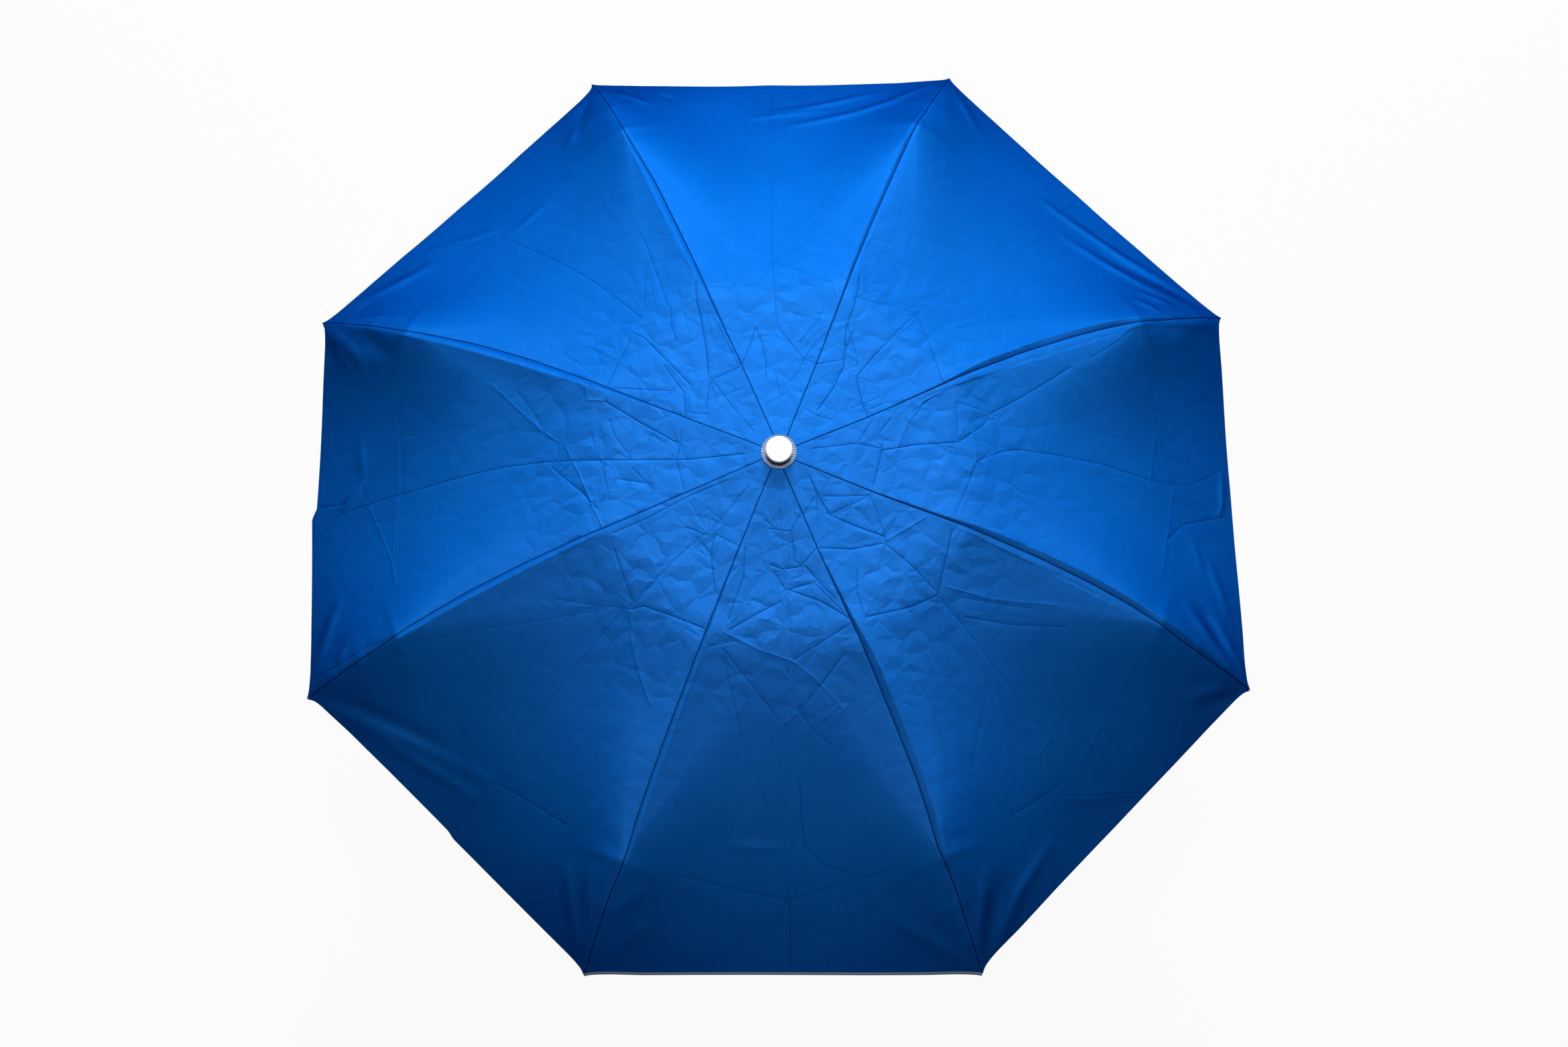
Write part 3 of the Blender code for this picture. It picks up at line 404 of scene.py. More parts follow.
# Catches: bent leaves of spring steel inside the tubes. A rounded bead or a sloping pawl stands out
# of each through its hole, and is pressed in with a fingertip. They keep their solid form.
spring_steel = plated_metal("spring_steel", (0.46, 0.46, 0.48), (0.36, 0.36, 0.39), 0.30)


def dress(look, *names):
    """Gives solid nodes a finish."""
    for name in names:
        mesh = nodes[name].data
        mesh.materials.clear()
        mesh.materials.append(look)
        mesh.shade_smooth()
        mesh.set_sharp_from_angle(angle=math.radians(35))


dress(spring_steel, "tube_catch_lower", "tube_catch_upper", "runner_catch")

# Notch and runner: two slotted hubs of black nylon. The notch is fixed on top of the upper tube, the
# runner slides below it, and a ring of wire in each groove is the hinge of eight ribs or stretchers.
hub_black = moulded_plastic("hub_black", (0.020, 0.020, 0.022), (0.036, 0.036, 0.040), 0.42, 0.00004)
ring_wire = plated_metal("ring_wire", (0.58, 0.58, 0.60), (0.46, 0.46, 0.48), 0.28, (300, 300, 300))
dress(hub_black, "top_notch", "runner")
dress(ring_wire, "notch_wire", "runner_wire")

# Ribs: eight sets of plated steel. Inner and middle ribs and the stretchers are folded channels, and
# the outer ribs are sprung round wire with a flattened eye. The channels keep their solid form.
rib_plating = plated_metal("rib_plating", (0.60, 0.61, 0.63), (0.48, 0.49, 0.52), 0.27, (60, 60, 60))
wire_plating = plated_metal("wire_plating", (0.56, 0.57, 0.59), (0.44, 0.45, 0.48), 0.25, (60, 60, 60))
rib_numbers = range(1, 9)
dress(rib_plating, *[f"{part}_{n}" for n in rib_numbers for part in ("rib_inner", "rib_middle", "stretcher")])
dress(wire_plating, *[f"rib_outer_{n}" for n in rib_numbers])

# Tips: small dark blue moulded caps over the ends of the outer ribs, sewn to the canopy's corners.
tip_blue = moulded_plastic("tip_blue", (0.004, 0.035, 0.20), (0.008, 0.055, 0.26), 0.40, 0.00003)
dress(tip_blue, *[f"rib_tip_{n}" for n in rib_numbers])

# Canopy cloth: blue plain-weave polyester with a satin face, coated silver underneath, with thin seams over
# the ribs, creases and crushed facets round the crown. Its colour has painted shade along each crease's line
# and where the cloth turns away from the camera, and a painted highlight along the bottom panel's turned hem
# edge, beside the hem's thread.


def product(tree, *values):
    """Sockets and numbers multiplied."""
    total = values[0]
    for value in values[1:]:
        total = calc(tree, "MULTIPLY", total, value)
    return total


def falloff(tree, distance, width):
    """One on a line, fading to nothing at about two of its widths."""
    widths = calc(tree, "DIVIDE", distance, width)
    return calc(tree, "EXPONENT", product(tree, widths, widths, -1.0))


def uv_map(tree, name):
    """The coordinates of a UV map."""
    return add_node(tree, "UVMap", {}, uv_map=name)["UV"]


def attribute(tree, name):
    """What a mesh's attribute says."""
    return add_node(tree, "Attribute", {}, attribute_name=name)["Fac"]


thread_pitch, stitch_pitch, seam_start = 0.00034, 0.0026, 0.0155
crease_shade_mm, crease_slope_mm, turned_edge_mm = 0.55, 0.8, 2.6
crushed_from, crushed_to = 0.16, 0.26


def woven_cloth():
    """The canopy's blue face."""
    made, tree, shader = new_material("canopy_blue")
    cloth = uv_map(tree, "cloth")
    across, out, _ = add_node(tree, "SeparateXYZ", {0: cloth})
    warp, weft = [calc(tree, "SINE", product(tree, part, math.pi / thread_pitch)) for part in (across, out)]
    slub = spread(tree, noise(tree, stretched(tree, cloth, (1.0, 0.04, 1.0)), 1400.0, 2.0), 0.0, 1.0)
    cloudy = spread(tree, noise(tree, cloth, 14.0, 4.0), 0.0, 1.0)
    blue = shade(tree, cloudy, (0.014, 0.186, 0.720), (0.018, 0.206, 0.790))
    barred = shade(tree, 0.10, blue, slub, "MULTIPLY")
    aside, along, _ = add_node(tree, "SeparateXYZ", {0: uv_map(tree, "seam")})
    stitch = calc(tree, "SINE", product(tree, along, math.tau / stitch_pitch))
    seam_line = falloff(tree, aside, calc(tree, "MULTIPLY_ADD", stitch, 0.00010, 0.00050))
    started = calc(tree, "GREATER_THAN", along, seam_start)
    sewn = shade(tree, product(tree, seam_line, started, 0.95), barred, (0.0006, 0.012, 0.085))
    gap, size = attribute(tree, "fold_gap"), attribute(tree, "fold_size")
    near_crown = spread(tree, out, 1.0, 0.25, crushed_from, crushed_to)
    # Painted shade: the colour is darkened along each crease's line, more near the crown.
    crease_shade_share = calc(tree, "MULTIPLY_ADD", near_crown, 0.5, 0.45)
    wear_and_crease_shade = product(tree, falloff(tree, gap, crease_shade_mm), crease_shade_share, calc(tree, "MAXIMUM", size, 0.0))
    crease_shaded = shade(tree, wear_and_crease_shade, sewn, (0.25, 0.55, 0.70), "MULTIPLY")
    # Painted shade: the colour is darkened where the cloth turns away from the camera, red most and green
    # more than blue.
    turned = calc(tree, "MULTIPLY_ADD", add_node(tree, "LayerWeight", {})["Facing"], -0.97, 1.0)
    red, green = calc(tree, "POWER", turned, 5.0), calc(tree, "POWER", turned, 1.4)
    grazing_shade = add_node(tree, "CombineXYZ", {0: red, 1: green, 2: turned})[0]
    grazing_shaded = shade(tree, 1.0, crease_shaded, grazing_shade, "MULTIPLY")
    # Painted highlight: the bottom panel's turned hem edge is coloured pale, as if lit, with a darker line
    # for its thread.
    bottom_panel, hem_gap = attribute(tree, "pale_edge"), attribute(tree, "hem_gap")
    hem_highlight_share = product(tree, calc(tree, "LESS_THAN", hem_gap, turned_edge_mm), bottom_panel)
    thread = falloff(tree, calc(tree, "SUBTRACT", hem_gap, 0.9), 0.35)
    hem_highlight_and_thread = shade(tree, thread, (0.36, 0.46, 0.54), (0.05, 0.10, 0.18))
    weave = bump(tree, product(tree, warp, weft), 0.00004, 0.5)
    slubbed = bump(tree, slub, 0.00005, 0.5, weave)
    rumpled = bump(tree, noise(tree, cloth, 170.0, 4.0, 0.55), 0.0003, 0.5, slubbed)
    stray = add_node(tree, "TexNoise", {"Vector": cloth, "Scale": 55.0})["Color"]
    wander = {0: stray, 1: (0.016, 0.016, 0.0), 2: cloth}
    wavy = add_node(tree, "VectorMath", wander, operation="MULTIPLY_ADD")[0]
    facets = add_node(tree, "TexVoronoi", {"Vector": wavy, "Scale": 42.0}, feature="DISTANCE_TO_EDGE")
    crushed = bump(tree, product(tree, facets["Distance"], near_crown), 0.0032, 1.0, rumpled)
    slope = calc(tree, "DIVIDE", calc(tree, "ABSOLUTE", gap), -crease_slope_mm)
    lasting = calc(tree, "MULTIPLY_ADD", near_crown, -0.35, -0.65)
    depth = product(tree, calc(tree, "EXPONENT", slope), size, lasting)
    folded = bump(tree, depth, 0.00070, 1.0, crushed)
    within = calc(tree, "MAXIMUM", calc(tree, "SUBTRACT", turned_edge_mm, hem_gap), 0.0)
    fill(tree, shader, {
        "Base Color": shade(tree, hem_highlight_share, grazing_shaded, hem_highlight_and_thread),
        "Metallic": 0.04,
        "Roughness": spread(tree, noise(tree, cloth, 90.0), 0.46, 0.52),
        "Specular IOR Level": 0.0,
        "Specular Tint": (0.02, 0.20, 1.0, 1),
        "Normal": bump(tree, product(tree, within, bottom_panel), 0.0010, 1.0, folded),
    })
    return made


def coated_cloth():
    """The canopy's underside: a thin silver coating over the weave, mottled at random."""
    made, tree, shader = new_material("canopy_silver")
    cloth = uv_map(tree, "cloth")
    mottled = spread(tree, noise(tree, cloth, 26.0, 5.0, 0.6), 0.0, 1.0)
    fill(tree, shader, {
        "Base Color": shade(tree, mottled, (0.42, 0.44, 0.47), (0.54, 0.56, 0.59)),
        "Metallic": 0.55,
        "Roughness": spread(tree, noise(tree, cloth, 120.0), 0.40, 0.55),
        "Normal": bump(tree, noise(tree, cloth, 170.0, 4.0, 0.55), 0.0006, 0.5),
    })
    return made


canopy_blue, canopy_silver = woven_cloth(), coated_cloth()

# Canopy form: eight panels are sewn edge to edge over the ribs. It is one sheet, computed as one
# surface and made in strips that each lie over one rib, because each strip folds with its own rib.
half_turn = math.pi / 8
slant, lean, opening = math.cos(half_turn), math.sin(half_turn), math.tan(half_turn)
crown_edge, crown_height, corner_radius = 0.0133, 0.5517, 0.4865
inner_elbow, outer_elbow = 0.17728, 0.37421
bend_radii = (inner_elbow, outer_elbow, 0.41665, 0.45255)
bend_slopes = (0.1395, 0.3559, 0.8330, 1.0257, 1.2249)
bend_spreads = (0.014, 0.190, 0.200, 0.200)
bend_veers = (0.35, 0.0, 0.0, 0.0)
bend_at_rib, veer_rounding = 0.003, 0.02
sag_start, sag_depth = 0.165, 0.008
MM = 0.001


def softened(past, width):
    """Zero before a bend and rising after it, with the bend spread over a width."""
    return (past + np.sqrt(past**2 + width**2)) / 2


def eased(past, width):
    """As softened, but the bend begins and ends within the width."""
    within = np.clip(past + width, 0, 2 * width) ** 2 / (4 * width)
    return within + np.maximum(past - width, 0)


def panel_height(out, across):
    """A panel's height; its bends are sharp at the ribs, spread in its middle, and can veer outwards."""
    rib_reach = out / slant
    veered = out * slant + np.sqrt(across**2 + veer_rounding**2) * lean
    bow = 1 - np.clip(across / np.maximum(out * opening, 1e-9), -1, 1) ** 2
    height = crown_height - bend_slopes[0] * softened(rib_reach - crown_edge, 0.001)
    bends = zip(bend_radii, bend_slopes, bend_slopes[1:], bend_spreads, bend_veers)
    for radius, before, after, spread_out, veer in bends:
        width = bend_at_rib + spread_out * bow
        height -= (after - before) * eased(rib_reach + veer * (veered - rib_reach) - radius, width)
    share = np.clip((rib_reach - sag_start) / (corner_radius - sag_start), 0, 1)
    return height - sag_depth * bow * np.sin(math.pi * share)


# Seams: where each of the eight seams runs beside its rib, and how wide the strip is that stands up
# on its left, in millimetres at stations along the rib.
stations = np.array((0, 15, 90, 165, 200, 250, 300, 340, 365, 380, 400, 440, 480)) * MM
seam_asides = {
    1: (-1, -1, 0.5, 5, 7.5, 10, 10, 8, 5.5, 4, 2, 1, 1),
    2: (-1.5, -1.5, 0, 2.5, 4, 5.5, 6, 6, 6, 6, 4, 2.5, 1.5),
    3: (-1.5, -1.5, -2, -2, -3, -3.5, -3.5, -1, 1, 1.5, 1, 1, 1.5),
    4: (1, 1, -0.5, -2.5, -4.5, -7, -6.5, -3.5, -1, 0.5, 0, 0, -1),
    5: (0.5, 0.5, -0.2, -1.5, -3.5, -5.2, -5, -2.5, -0.5, 2, 2, 2, 1.5),
    6: (-0.5, -0.5, -1, -1, -1, -1, 0, 1.5, 4, 4, 2, 1.5, 1.5),
    7: (-2.5, -2.5, -2, 1, 2, 2.5, 2.5, 0, -3, -1, 0, 0, 0),
    8: (-2, -2, -0.3, 4, 6, 8, 8, 6, 3, 1.5, -0.5, -1, -1),
}
strip_widths = {
    1: (0, 0, 0, 1, 4.5, 5.5, 6, 5.5, 5, 3.5, 2.5, 0.8, 0.5),
    2: (0, 0, 0, 1, 3, 3.5, 3.2, 3.4, 3.8, 3, 1, 0.5, 0),
    3: (0, 0, 0, 2, 5.5, 7, 7, 4.8, 2.5, 1, 0, 0, 0),
    4: (0, 0, 0, 3.5, 7, 9, 8.5, 6.5, 6, 4.5, 3, 2, 1),
    5: (0, 0, 0, 2.5, 5, 6.2, 6.5, 6, 6, 2.5, 1, 0, 0),
    6: (0, 0, 0.5, 3, 4, 4.5, 4.5, 4.5, 3, 1.5, 0.5, 0.3, 0),
    7: (0, 0, 0, 3, 6.5, 7, 7, 6.5, 6, 2, 0.5, 0.3, 0),
    8: (0, 0, 0.5, 2, 5, 6, 6, 5.5, 6, 6.5, 6, 3, 1),
}
fine_stations = np.linspace(0, 0.5, 501)
rounding = np.exp(-np.linspace(-2.2, 2.2, 33) ** 2)
rounding /= rounding.sum()


def beside_rib(table, rib, reach):
    """A rib's table read at a distance along it, with its corners rounded."""
    values = np.interp(fine_stations, stations, table[rib]) * MM
    padded = np.concatenate([np.full(16, values[0]), values, np.full(16, values[-1])])
    return np.interp(reach, fine_stations, np.convolve(padded, rounding, "valid"))


# Flex of the outer ribs: the taut cloth holds each wire a few millimetres in or out of true, square to
# its own slope.
flex_outward, flex_up = 0.74, 0.67
flex_lengths = {1: -0.8, 2: -1.3, 3: -4.8, 4: 1.9, 5: -0.7, 6: -8.8, 7: -2.0, 8: 3.2}


def rib_angle(rib):
    """A rib's direction round the shaft; after the eighth rib comes the first."""
    return half_turn + ((rib - 1) % 8) * math.tau / 8


def flex(rib):
    """How far a rib's end is bent, outwards and up."""
    size = flex_lengths[(rib - 1) % 8 + 1] * MM
    outward = flex_outward * size
    return np.array([outward * math.cos(rib_angle(rib)), outward * math.sin(rib_angle(rib)), flex_up * size])


def flex_share(reach):
    """How much of that bend there is at a distance along the rib."""
    return np.clip((reach - outer_elbow) / (corner_radius - outer_elbow), 0, 1.05) ** 1.6


# Folds: the sheet keeps the lines it was folded and crushed along. Each is a strength and then its
# points, in millimetres out along the middle of its panel and across it. Panels are counted leftwards
# from the one right of the top.
creases = {
    0: [
        (0.7, 100, 1, 130, 4, 187, 7), (0.4, 187, 7, 270, 9, 310, 8, 350, 4, 405, 2), (0.8, 405, 2, 432, 2),
        (0.8, 52, 3, 75, 7, 100, 16, 118, 32, 130, 41, 150, 50, 165, 60, 175, 67),
        (0.6, 83, 34, 103, 21, 130, 33), (0.5, 130, 40, 118, 20, 108, 6),
        (0.5, 155, 56, 165, 40, 178, 22, 187, 7), (0.6, 187, 7, 178, -12, 168, -30, 152, -57),
        (0.8, 100, 1, 92, -10, 83, -25, 80, -32), (0.5, 82, -20, 100, -26), (0.5, 80, -26, 98, -33),
        (0.5, 45, 12, 48, 0, 55, -12), (0.25, 175, 60, 210, 70, 250, 85, 270, 98),
        (0.25, 185, 35, 220, 52, 260, 73), (0.3, 155, -5, 200, -25, 260, -58, 300, -85, 330, -108),
        (0.3, 362, 60, 370, 30, 380, 0), (-0.3, 380, 0, 372, -30, 365, -50), (0.4, 62, -12, 85, -20),
    ],
    1: [
        (0.4, 120, 0, 190, 3, 300, 3, 365, 3), (0.6, 365, 3, 424, 0), (0.5, 120, 0, 87, -24, 83, -35),
        (0.3, 155, 45, 172, 28, 185, 5), (0.35, 187, 0, 178, -20, 170, -35, 163, -50, 148, -53),
        (0.6, 83, 32, 100, 25, 119, 19, 105, 14, 85, 10, 70, 11), (0.5, 45, 10, 55, -6),
        (0.4, 52, -2, 75, 2), (0.3, 130, 50, 127, 35, 133, 15), (0.5, 68, -12, 78, -20, 90, -24),
        (0.6, 88, -24, 105, -35, 111, -42), (0.5, 103, -20, 115, -28, 125, -37), (0.4, 125, -37, 140, -43),
        (0.35, 353, 85, 360, 45, 366, 15, 372, -20), (0.8, 397, 12, 405, 22, 415, 38, 421, 40),
        (0.4, 385, 58, 382, 35, 372, 3), (0.5, 372, 3, 380, -30, 386, -60), (0.3, 360, -62, 366, -20),
        (0.4, 315, 120, 327, 130, 340, 142),
    ],
    2: [
        (0.5, 30, 2, 60, -2, 95, -8, 100, -12), (0.8, 100, 9, 130, 7, 165, 5), (0.7, 165, 5, 173, 7),
        (0.7, 183, -8, 250, -8, 300, -3, 340, 3, 370, 8), (0.7, 155, 60, 165, 35, 173, 14),
        (0.6, 172, -32, 200, -47, 235, -65, 250, -70), (0.4, 185, -14, 200, -30, 220, -50),
        (0.9, 95, -8, 115, -25, 140, -43, 155, -52), (0.7, 155, -52, 168, -64),
        (0.6, 140, -12, 155, -20, 168, -32), (0.6, 75, 15, 90, -5), (0.7, 83, 33, 100, 18, 130, 12),
        (0.5, 65, -20, 70, -10), (0.7, 80, -35, 90, -9), (0.5, 83, -33, 100, -40, 130, -50),
        (0.6, 110, 25, 130, 42, 150, 58), (0.5, 70, 18, 83, 28, 92, 20, 98, 22),
        (0.25, 170, 60, 220, 65, 270, 83, 300, 105, 320, 120), (0.3, 165, 37, 220, 50),
        (0.7, 345, 98, 380, 96, 430, 94), (0.5, 350, 113, 380, 110),
        (0.4, 367, 100, 358, 60, 352, 35, 350, 3), (0.8, 375, 12, 390, 30, 410, 45, 433, 62),
        (-0.6, 370, 0, 365, -30, 360, -60), (0.5, 385, 0, 380, -40), (0.5, 360, -60, 375, -45, 420, -38),
        (0.4, 372, 140, 388, 158), (0.4, 352, 130, 372, 150), (0.3, 360, 122, 378, 140),
        (0.4, 392, 128, 402, 150),
    ],
    3: [
        (
            0.8, 30, 1, 80, 4, 130, 2, 170, 0, 205, -3, 250, -4, 300, 0, 340, 4, 380, 7,
            420, 12, 430, 20, 443, 30,
        ),
        (1.0, 415, 2, 443, 0), (-0.9, 155, 63, 165, 40, 178, 10, 190, -15),
        (0.8, 160, 45, 175, 28, 195, 10, 202, 2), (0.5, 197, 3, 197, -20),
        (-0.8, 197, -20, 215, -35, 235, -55, 260, -80), (0.5, 210, -30, 220, -50, 235, -70),
        (0.9, 90, -12, 120, -30, 155, -53), (-0.6, 155, -53, 170, -55, 172, -67),
        (0.5, 150, 35, 155, 10, 165, -18), (0.6, 130, 0, 145, -20, 150, -35), (0.6, 83, 33, 90, 5, 85, -22),
        (0.7, 110, 30, 130, 8), (0.6, 110, 25, 125, 22, 145, 18), (-0.4, 220, 20, 240, 45, 265, 70),
        (-0.8, 353, 92, 358, 70, 375, 35, 390, 5), (-0.6, 358, 63, 357, -60),
        (0.5, 350, 5, 353, -30, 357, -63, 353, -90), (-0.8, 397, -12, 415, 8), (0.5, 390, 5, 395, -12),
        (0.5, 143, 18, 158, 40), (0.5, 165, -18, 168, -33, 172, -31),
        (0.7, 345, 145, 380, 152, 410, 163, 440, 170), (0.5, 100, -12, 112, -20, 118, -8),
    ],
    4: [
        (0.5, 40, 2, 90, 6, 100, 3, 130, 0, 180, 1), (0.5, 190, -3, 260, -2, 320, 2, 375, 6, 390, 4),
        (1.0, 390, 4, 436, 4), (0.9, 155, 60, 165, 35, 177, 8, 187, 1), (0.7, 180, -3, 170, -25, 156, -53),
        (-0.9, 187, 2, 205, 20, 220, 45, 232, 70), (0.5, 190, -5, 205, -25, 225, -55),
        (0.35, 200, -15, 250, -55, 310, -105, 345, -130), (0.6, 83, 33, 90, 10),
        (0.7, 90, 10, 105, 20, 125, 45), (0.5, 90, 6, 83, 3, 77, 5, 78, -10, 90, -12),
        (0.8, 95, 6, 103, -12), (0.4, 93, 5, 85, -25), (0.5, 105, 20, 103, 0),
        (0.6, 50, -15, 83, -30, 120, -42, 150, -55), (0.9, 357, 85, 365, 50, 376, 8),
        (0.4, 376, 4, 365, -50, 353, -110), (0.4, 97, 20, 105, 24),
    ],
    5: [
        (0.3, 40, 0, 120, 5, 150, 8, 180, 10), (0.4, 330, 3, 380, 7), (1.0, 380, 7, 440, 8),
        (0.7, 150, 60, 165, 35, 180, 10), (-0.8, 180, 10, 170, -20, 155, -50),
        (-0.8, 180, 10, 195, 30, 220, 55), (0.7, 175, 55, 200, 35, 222, 15),
        (0.7, 220, 15, 240, 30, 250, 45), (0.6, 220, 50, 240, 27), (-0.8, 222, 15, 232, 2),
        (0.7, 170, -50, 200, -25, 230, 0), (0.5, 175, -50, 240, -35, 300, -12),
        (0.8, 130, 0, 140, -20, 153, -43), (0.6, 55, 18, 70, 10, 67, -8), (0.6, 70, 10, 95, 13, 100, 20),
        (0.7, 83, 33, 100, 18), (0.9, 100, 18, 102, 2, 98, -8), (0.8, 100, 22, 120, 40, 130, 50),
        (0.8, 115, 25, 120, 5, 105, -5), (0.9, 120, 8, 130, 35, 145, 60), (0.5, 115, 30, 140, 55),
        (0.6, 83, -30, 110, -32, 145, -45), (0.9, 280, 16, 333, 20), (0.9, 333, 20, 345, 35, 350, 40),
        (0.6, 350, 40, 358, 65), (0.6, 357, 90, 365, 60, 380, 7), (0.8, 380, 7, 370, -40, 358, -88),
        (-0.5, 335, 0, 333, -50), (0.5, 310, 115, 340, 135), (0.6, 60, -12, 67, -4),
        (0.5, 163, -40, 168, -62),
    ],
    6: [
        (0.9, 35, 3, 50, -3, 70, -8, 90, 0, 117, 13), (0.8, 117, 13, 123, 9, 150, 12, 180, 12),
        (0.6, 187, 11, 220, 10, 270, 7, 330, 4, 380, 4), (0.8, 155, 60, 170, 35, 185, 11),
        (0.9, 185, 11, 175, -15, 155, -48), (-0.8, 120, 12, 125, 30, 130, 50),
        (0.5, 118, 13, 100, 22, 83, 30), (0.8, 120, 8, 105, -15, 85, -34), (0.6, 83, 30, 65, 10, 55, 0),
        (0.5, 50, -2, 53, -20), (0.5, 70, -8, 78, 15, 83, 30), (-0.7, 185, 22, 220, 45, 265, 85),
        (0.5, 200, 25, 250, 65), (0.8, 215, 17, 250, 45, 285, 80), (0.35, 200, -5, 220, -15, 250, -35),
        (0.35, 210, -50, 250, -60, 300, -90), (0.5, 270, -5, 290, -40, 310, -70),
        (0.6, 120, -25, 135, -40, 155, -50), (-0.6, 343, 5, 345, -15),
        (-0.8, 345, 130, 360, 80, 375, 30, 380, 10), (0.8, 380, -5, 375, -35, 365, -70),
        (0.9, 390, -18, 410, 5, 430, 30, 443, 43), (0.7, 390, -15, 420, -8, 443, -2),
        (0.4, 165, 5, 170, 14),
    ],
    7: [
        (0.6, 30, 3, 70, 9, 90, 5), (0.9, 90, 3, 120, 9, 160, 13, 175, 24),
        (0.5, 160, 13, 160, 50, 190, 44), (0.8, 175, 24, 183, 30, 192, 43, 220, 60, 250, 80, 270, 94),
        (-0.5, 175, 24, 177, -3), (0.7, 177, -3, 200, 8, 215, 12, 250, 12, 300, 10, 350, 3),
        (0.4, 350, 3, 376, 2, 400, 8, 430, 25), (0.6, 177, -3, 168, -25, 155, -53),
        (0.8, 92, 8, 88, -10, 83, -28), (0.6, 90, 20, 100, 33), (-0.7, 105, 5, 115, 30, 130, 50, 145, 58),
        (0.5, 120, 40, 140, 55), (0.3, 140, 9, 170, -5), (0.3, 200, -15, 240, -45, 280, -75),
        (-0.7, 343, 145, 350, 100, 360, 60, 370, 20, 378, -2),
        (-0.7, 378, -2, 372, -30, 360, -75, 356, -90), (-0.9, 360, 48, 353, 3),
        (0.8, 367, -53, 385, -35, 410, -26, 435, -18), (-0.8, 437, 25, 435, -5, 430, -17),
        (0.5, 400, 8, 420, 18, 435, 30), (0.6, 290, 105, 320, 125, 340, 143), (0.5, 187, 36, 196, 38),
        (0.5, 70, 9, 83, 30),
    ],
}
# Pulled folds: broad soft ridges that run from the corners and elbows, each with a height, a width and
# its points.
pulled_folds = {
    0: [
        (1.0, 5, 383, -20, 390, -60, 400, -110, 420, -155),
        (1.1, 5, 403, 20, 410, -20, 418, -70, 432, -125), (0.8, 4, 385, -115, 400, -145),
        (0.7, 3.5, 370, -120, 378, -145), (0.8, 5, 410, 120, 430, 165),
        (-1.1, 7, 400, -60, 425, -130, 437, -168),
    ],
    1: [
        (1.1, 4.5, 372, -20, 385, -80, 400, -120, 432, -165),
        (1.0, 4.5, 395, 0, 400, -30, 408, -60, 421, -105), (0.8, 4.5, 396, 120, 410, 145, 421, 160),
        (0.6, 3.5, 386, 20, 392, -20, 396, -55), (-0.6, 4, 410, 100, 421, 114),
    ],
    2: [
        (1.1, 6, 405, 75, 415, 110, 428, 140), (0.7, 4, 380, 5, 400, 30, 425, 55),
        (-0.9, 6, 400, -125, 425, -160), (0.7, 5, 393, -105, 410, -138),
        (0.6, 4, 365, 135, 390, 150, 420, 168), (-0.7, 4.5, 410, 145, 425, 152),
        (0.5, 4, 362, -5, 358, -45),
    ],
    3: [
        (1.2, 6, 395, -125, 420, -155, 440, -176), (-1.2, 8, 362, -125, 390, -148, 405, -158),
        (1.2, 6, 415, 100, 430, 140, 441, 163), (0.8, 4, 400, 145, 412, 162),
        (0.8, 4, 397, -12, 410, 0, 420, 10), (0.7, 5, 410, -125, 440, -172), (0.5, 5, 395, -20, 400, -60),
    ],
    4: [
        (1.0, 7, 380, 0, 395, -50, 420, -110, 441, -160), (1.0, 6, 400, 0, 415, -60, 430, -120),
        (-1.2, 7, 384, -30, 402, -90, 420, -140, 440, -180), (0.9, 5.5, 385, 110, 410, 140, 435, 170),
        (0.6, 5, 372, 130, 400, 152),
    ],
    5: [
        (0.8, 6, 395, 95, 420, 140, 441, 175), (0.6, 5, 370, -125, 392, -152),
        (0.6, 6, 400, -120, 432, -162), (0.5, 5, 335, 0, 333, -45),
    ],
    6: [
        (1.1, 6, 410, 130, 432, 166), (-1.1, 6, 425, 135, 445, 175),
        (1.2, 6, 385, -125, 410, -155, 440, -185), (1.1, 6, 410, -60, 420, -110, 440, -160),
        (-1.2, 8, 400, -120, 432, -166), (0.6, 5, 392, -18, 412, 5, 432, 32),
    ],
    7: [
        (1.3, 6, 380, -120, 400, -145, 430, -176), (1.3, 6, 410, -125, 430, -155, 441, -173),
        (-1.3, 8, 392, -115, 422, -152), (0.6, 5, 395, -50, 405, -80), (0.7, 5, 410, -60, 430, -120),
        (0.8, 5, 370, 155, 400, 163, 432, 171), (0.6, 4, 437, 25, 435, -5, 430, -17),
    ],
}


def segments(line):
    """A line's parts, in metres, each as its two ends, from its points' numbers in millimetres."""
    points = [(x * MM, y * MM) for x, y in zip(line[::2], line[1::2])]
    return list(zip(points, points[1:]))


def beside_segment(out, across, start, end):
    """Distance along a line, signed distance aside of it, distance past its ends and from it in all."""
    run, rise = end[0] - start[0], end[1] - start[1]
    length = math.hypot(run, rise)
    along = ((out - start[0]) * run + (across - start[1]) * rise) / length
    aside = ((across - start[1]) * run - (out - start[0]) * rise) / length
    past = np.maximum(0, np.maximum(-along, along - length))
    return along, aside, past, np.hypot(aside, past)


crease_end = 1.6 * MM
pulled_more = 2.1


def crease_marks(panel, out, across):
    """Signed distance from the nearest crease, and how strong that crease is there."""
    nearest = np.full(out.shape, 1.0)
    gap, strength = np.full(out.shape, 0.05), np.zeros(out.shape)
    for size, *line in creases[panel]:
        for start, end in segments(line):
            _, aside, past, far = beside_segment(out, across, start, end)
            closer = far < nearest
            nearest = np.where(closer, far, nearest)
            gap = np.where(closer, np.where(aside >= 0, far, -far), gap)
            strength = np.where(closer, size * np.exp(-((past / crease_end) ** 2)), strength)
    return gap, strength


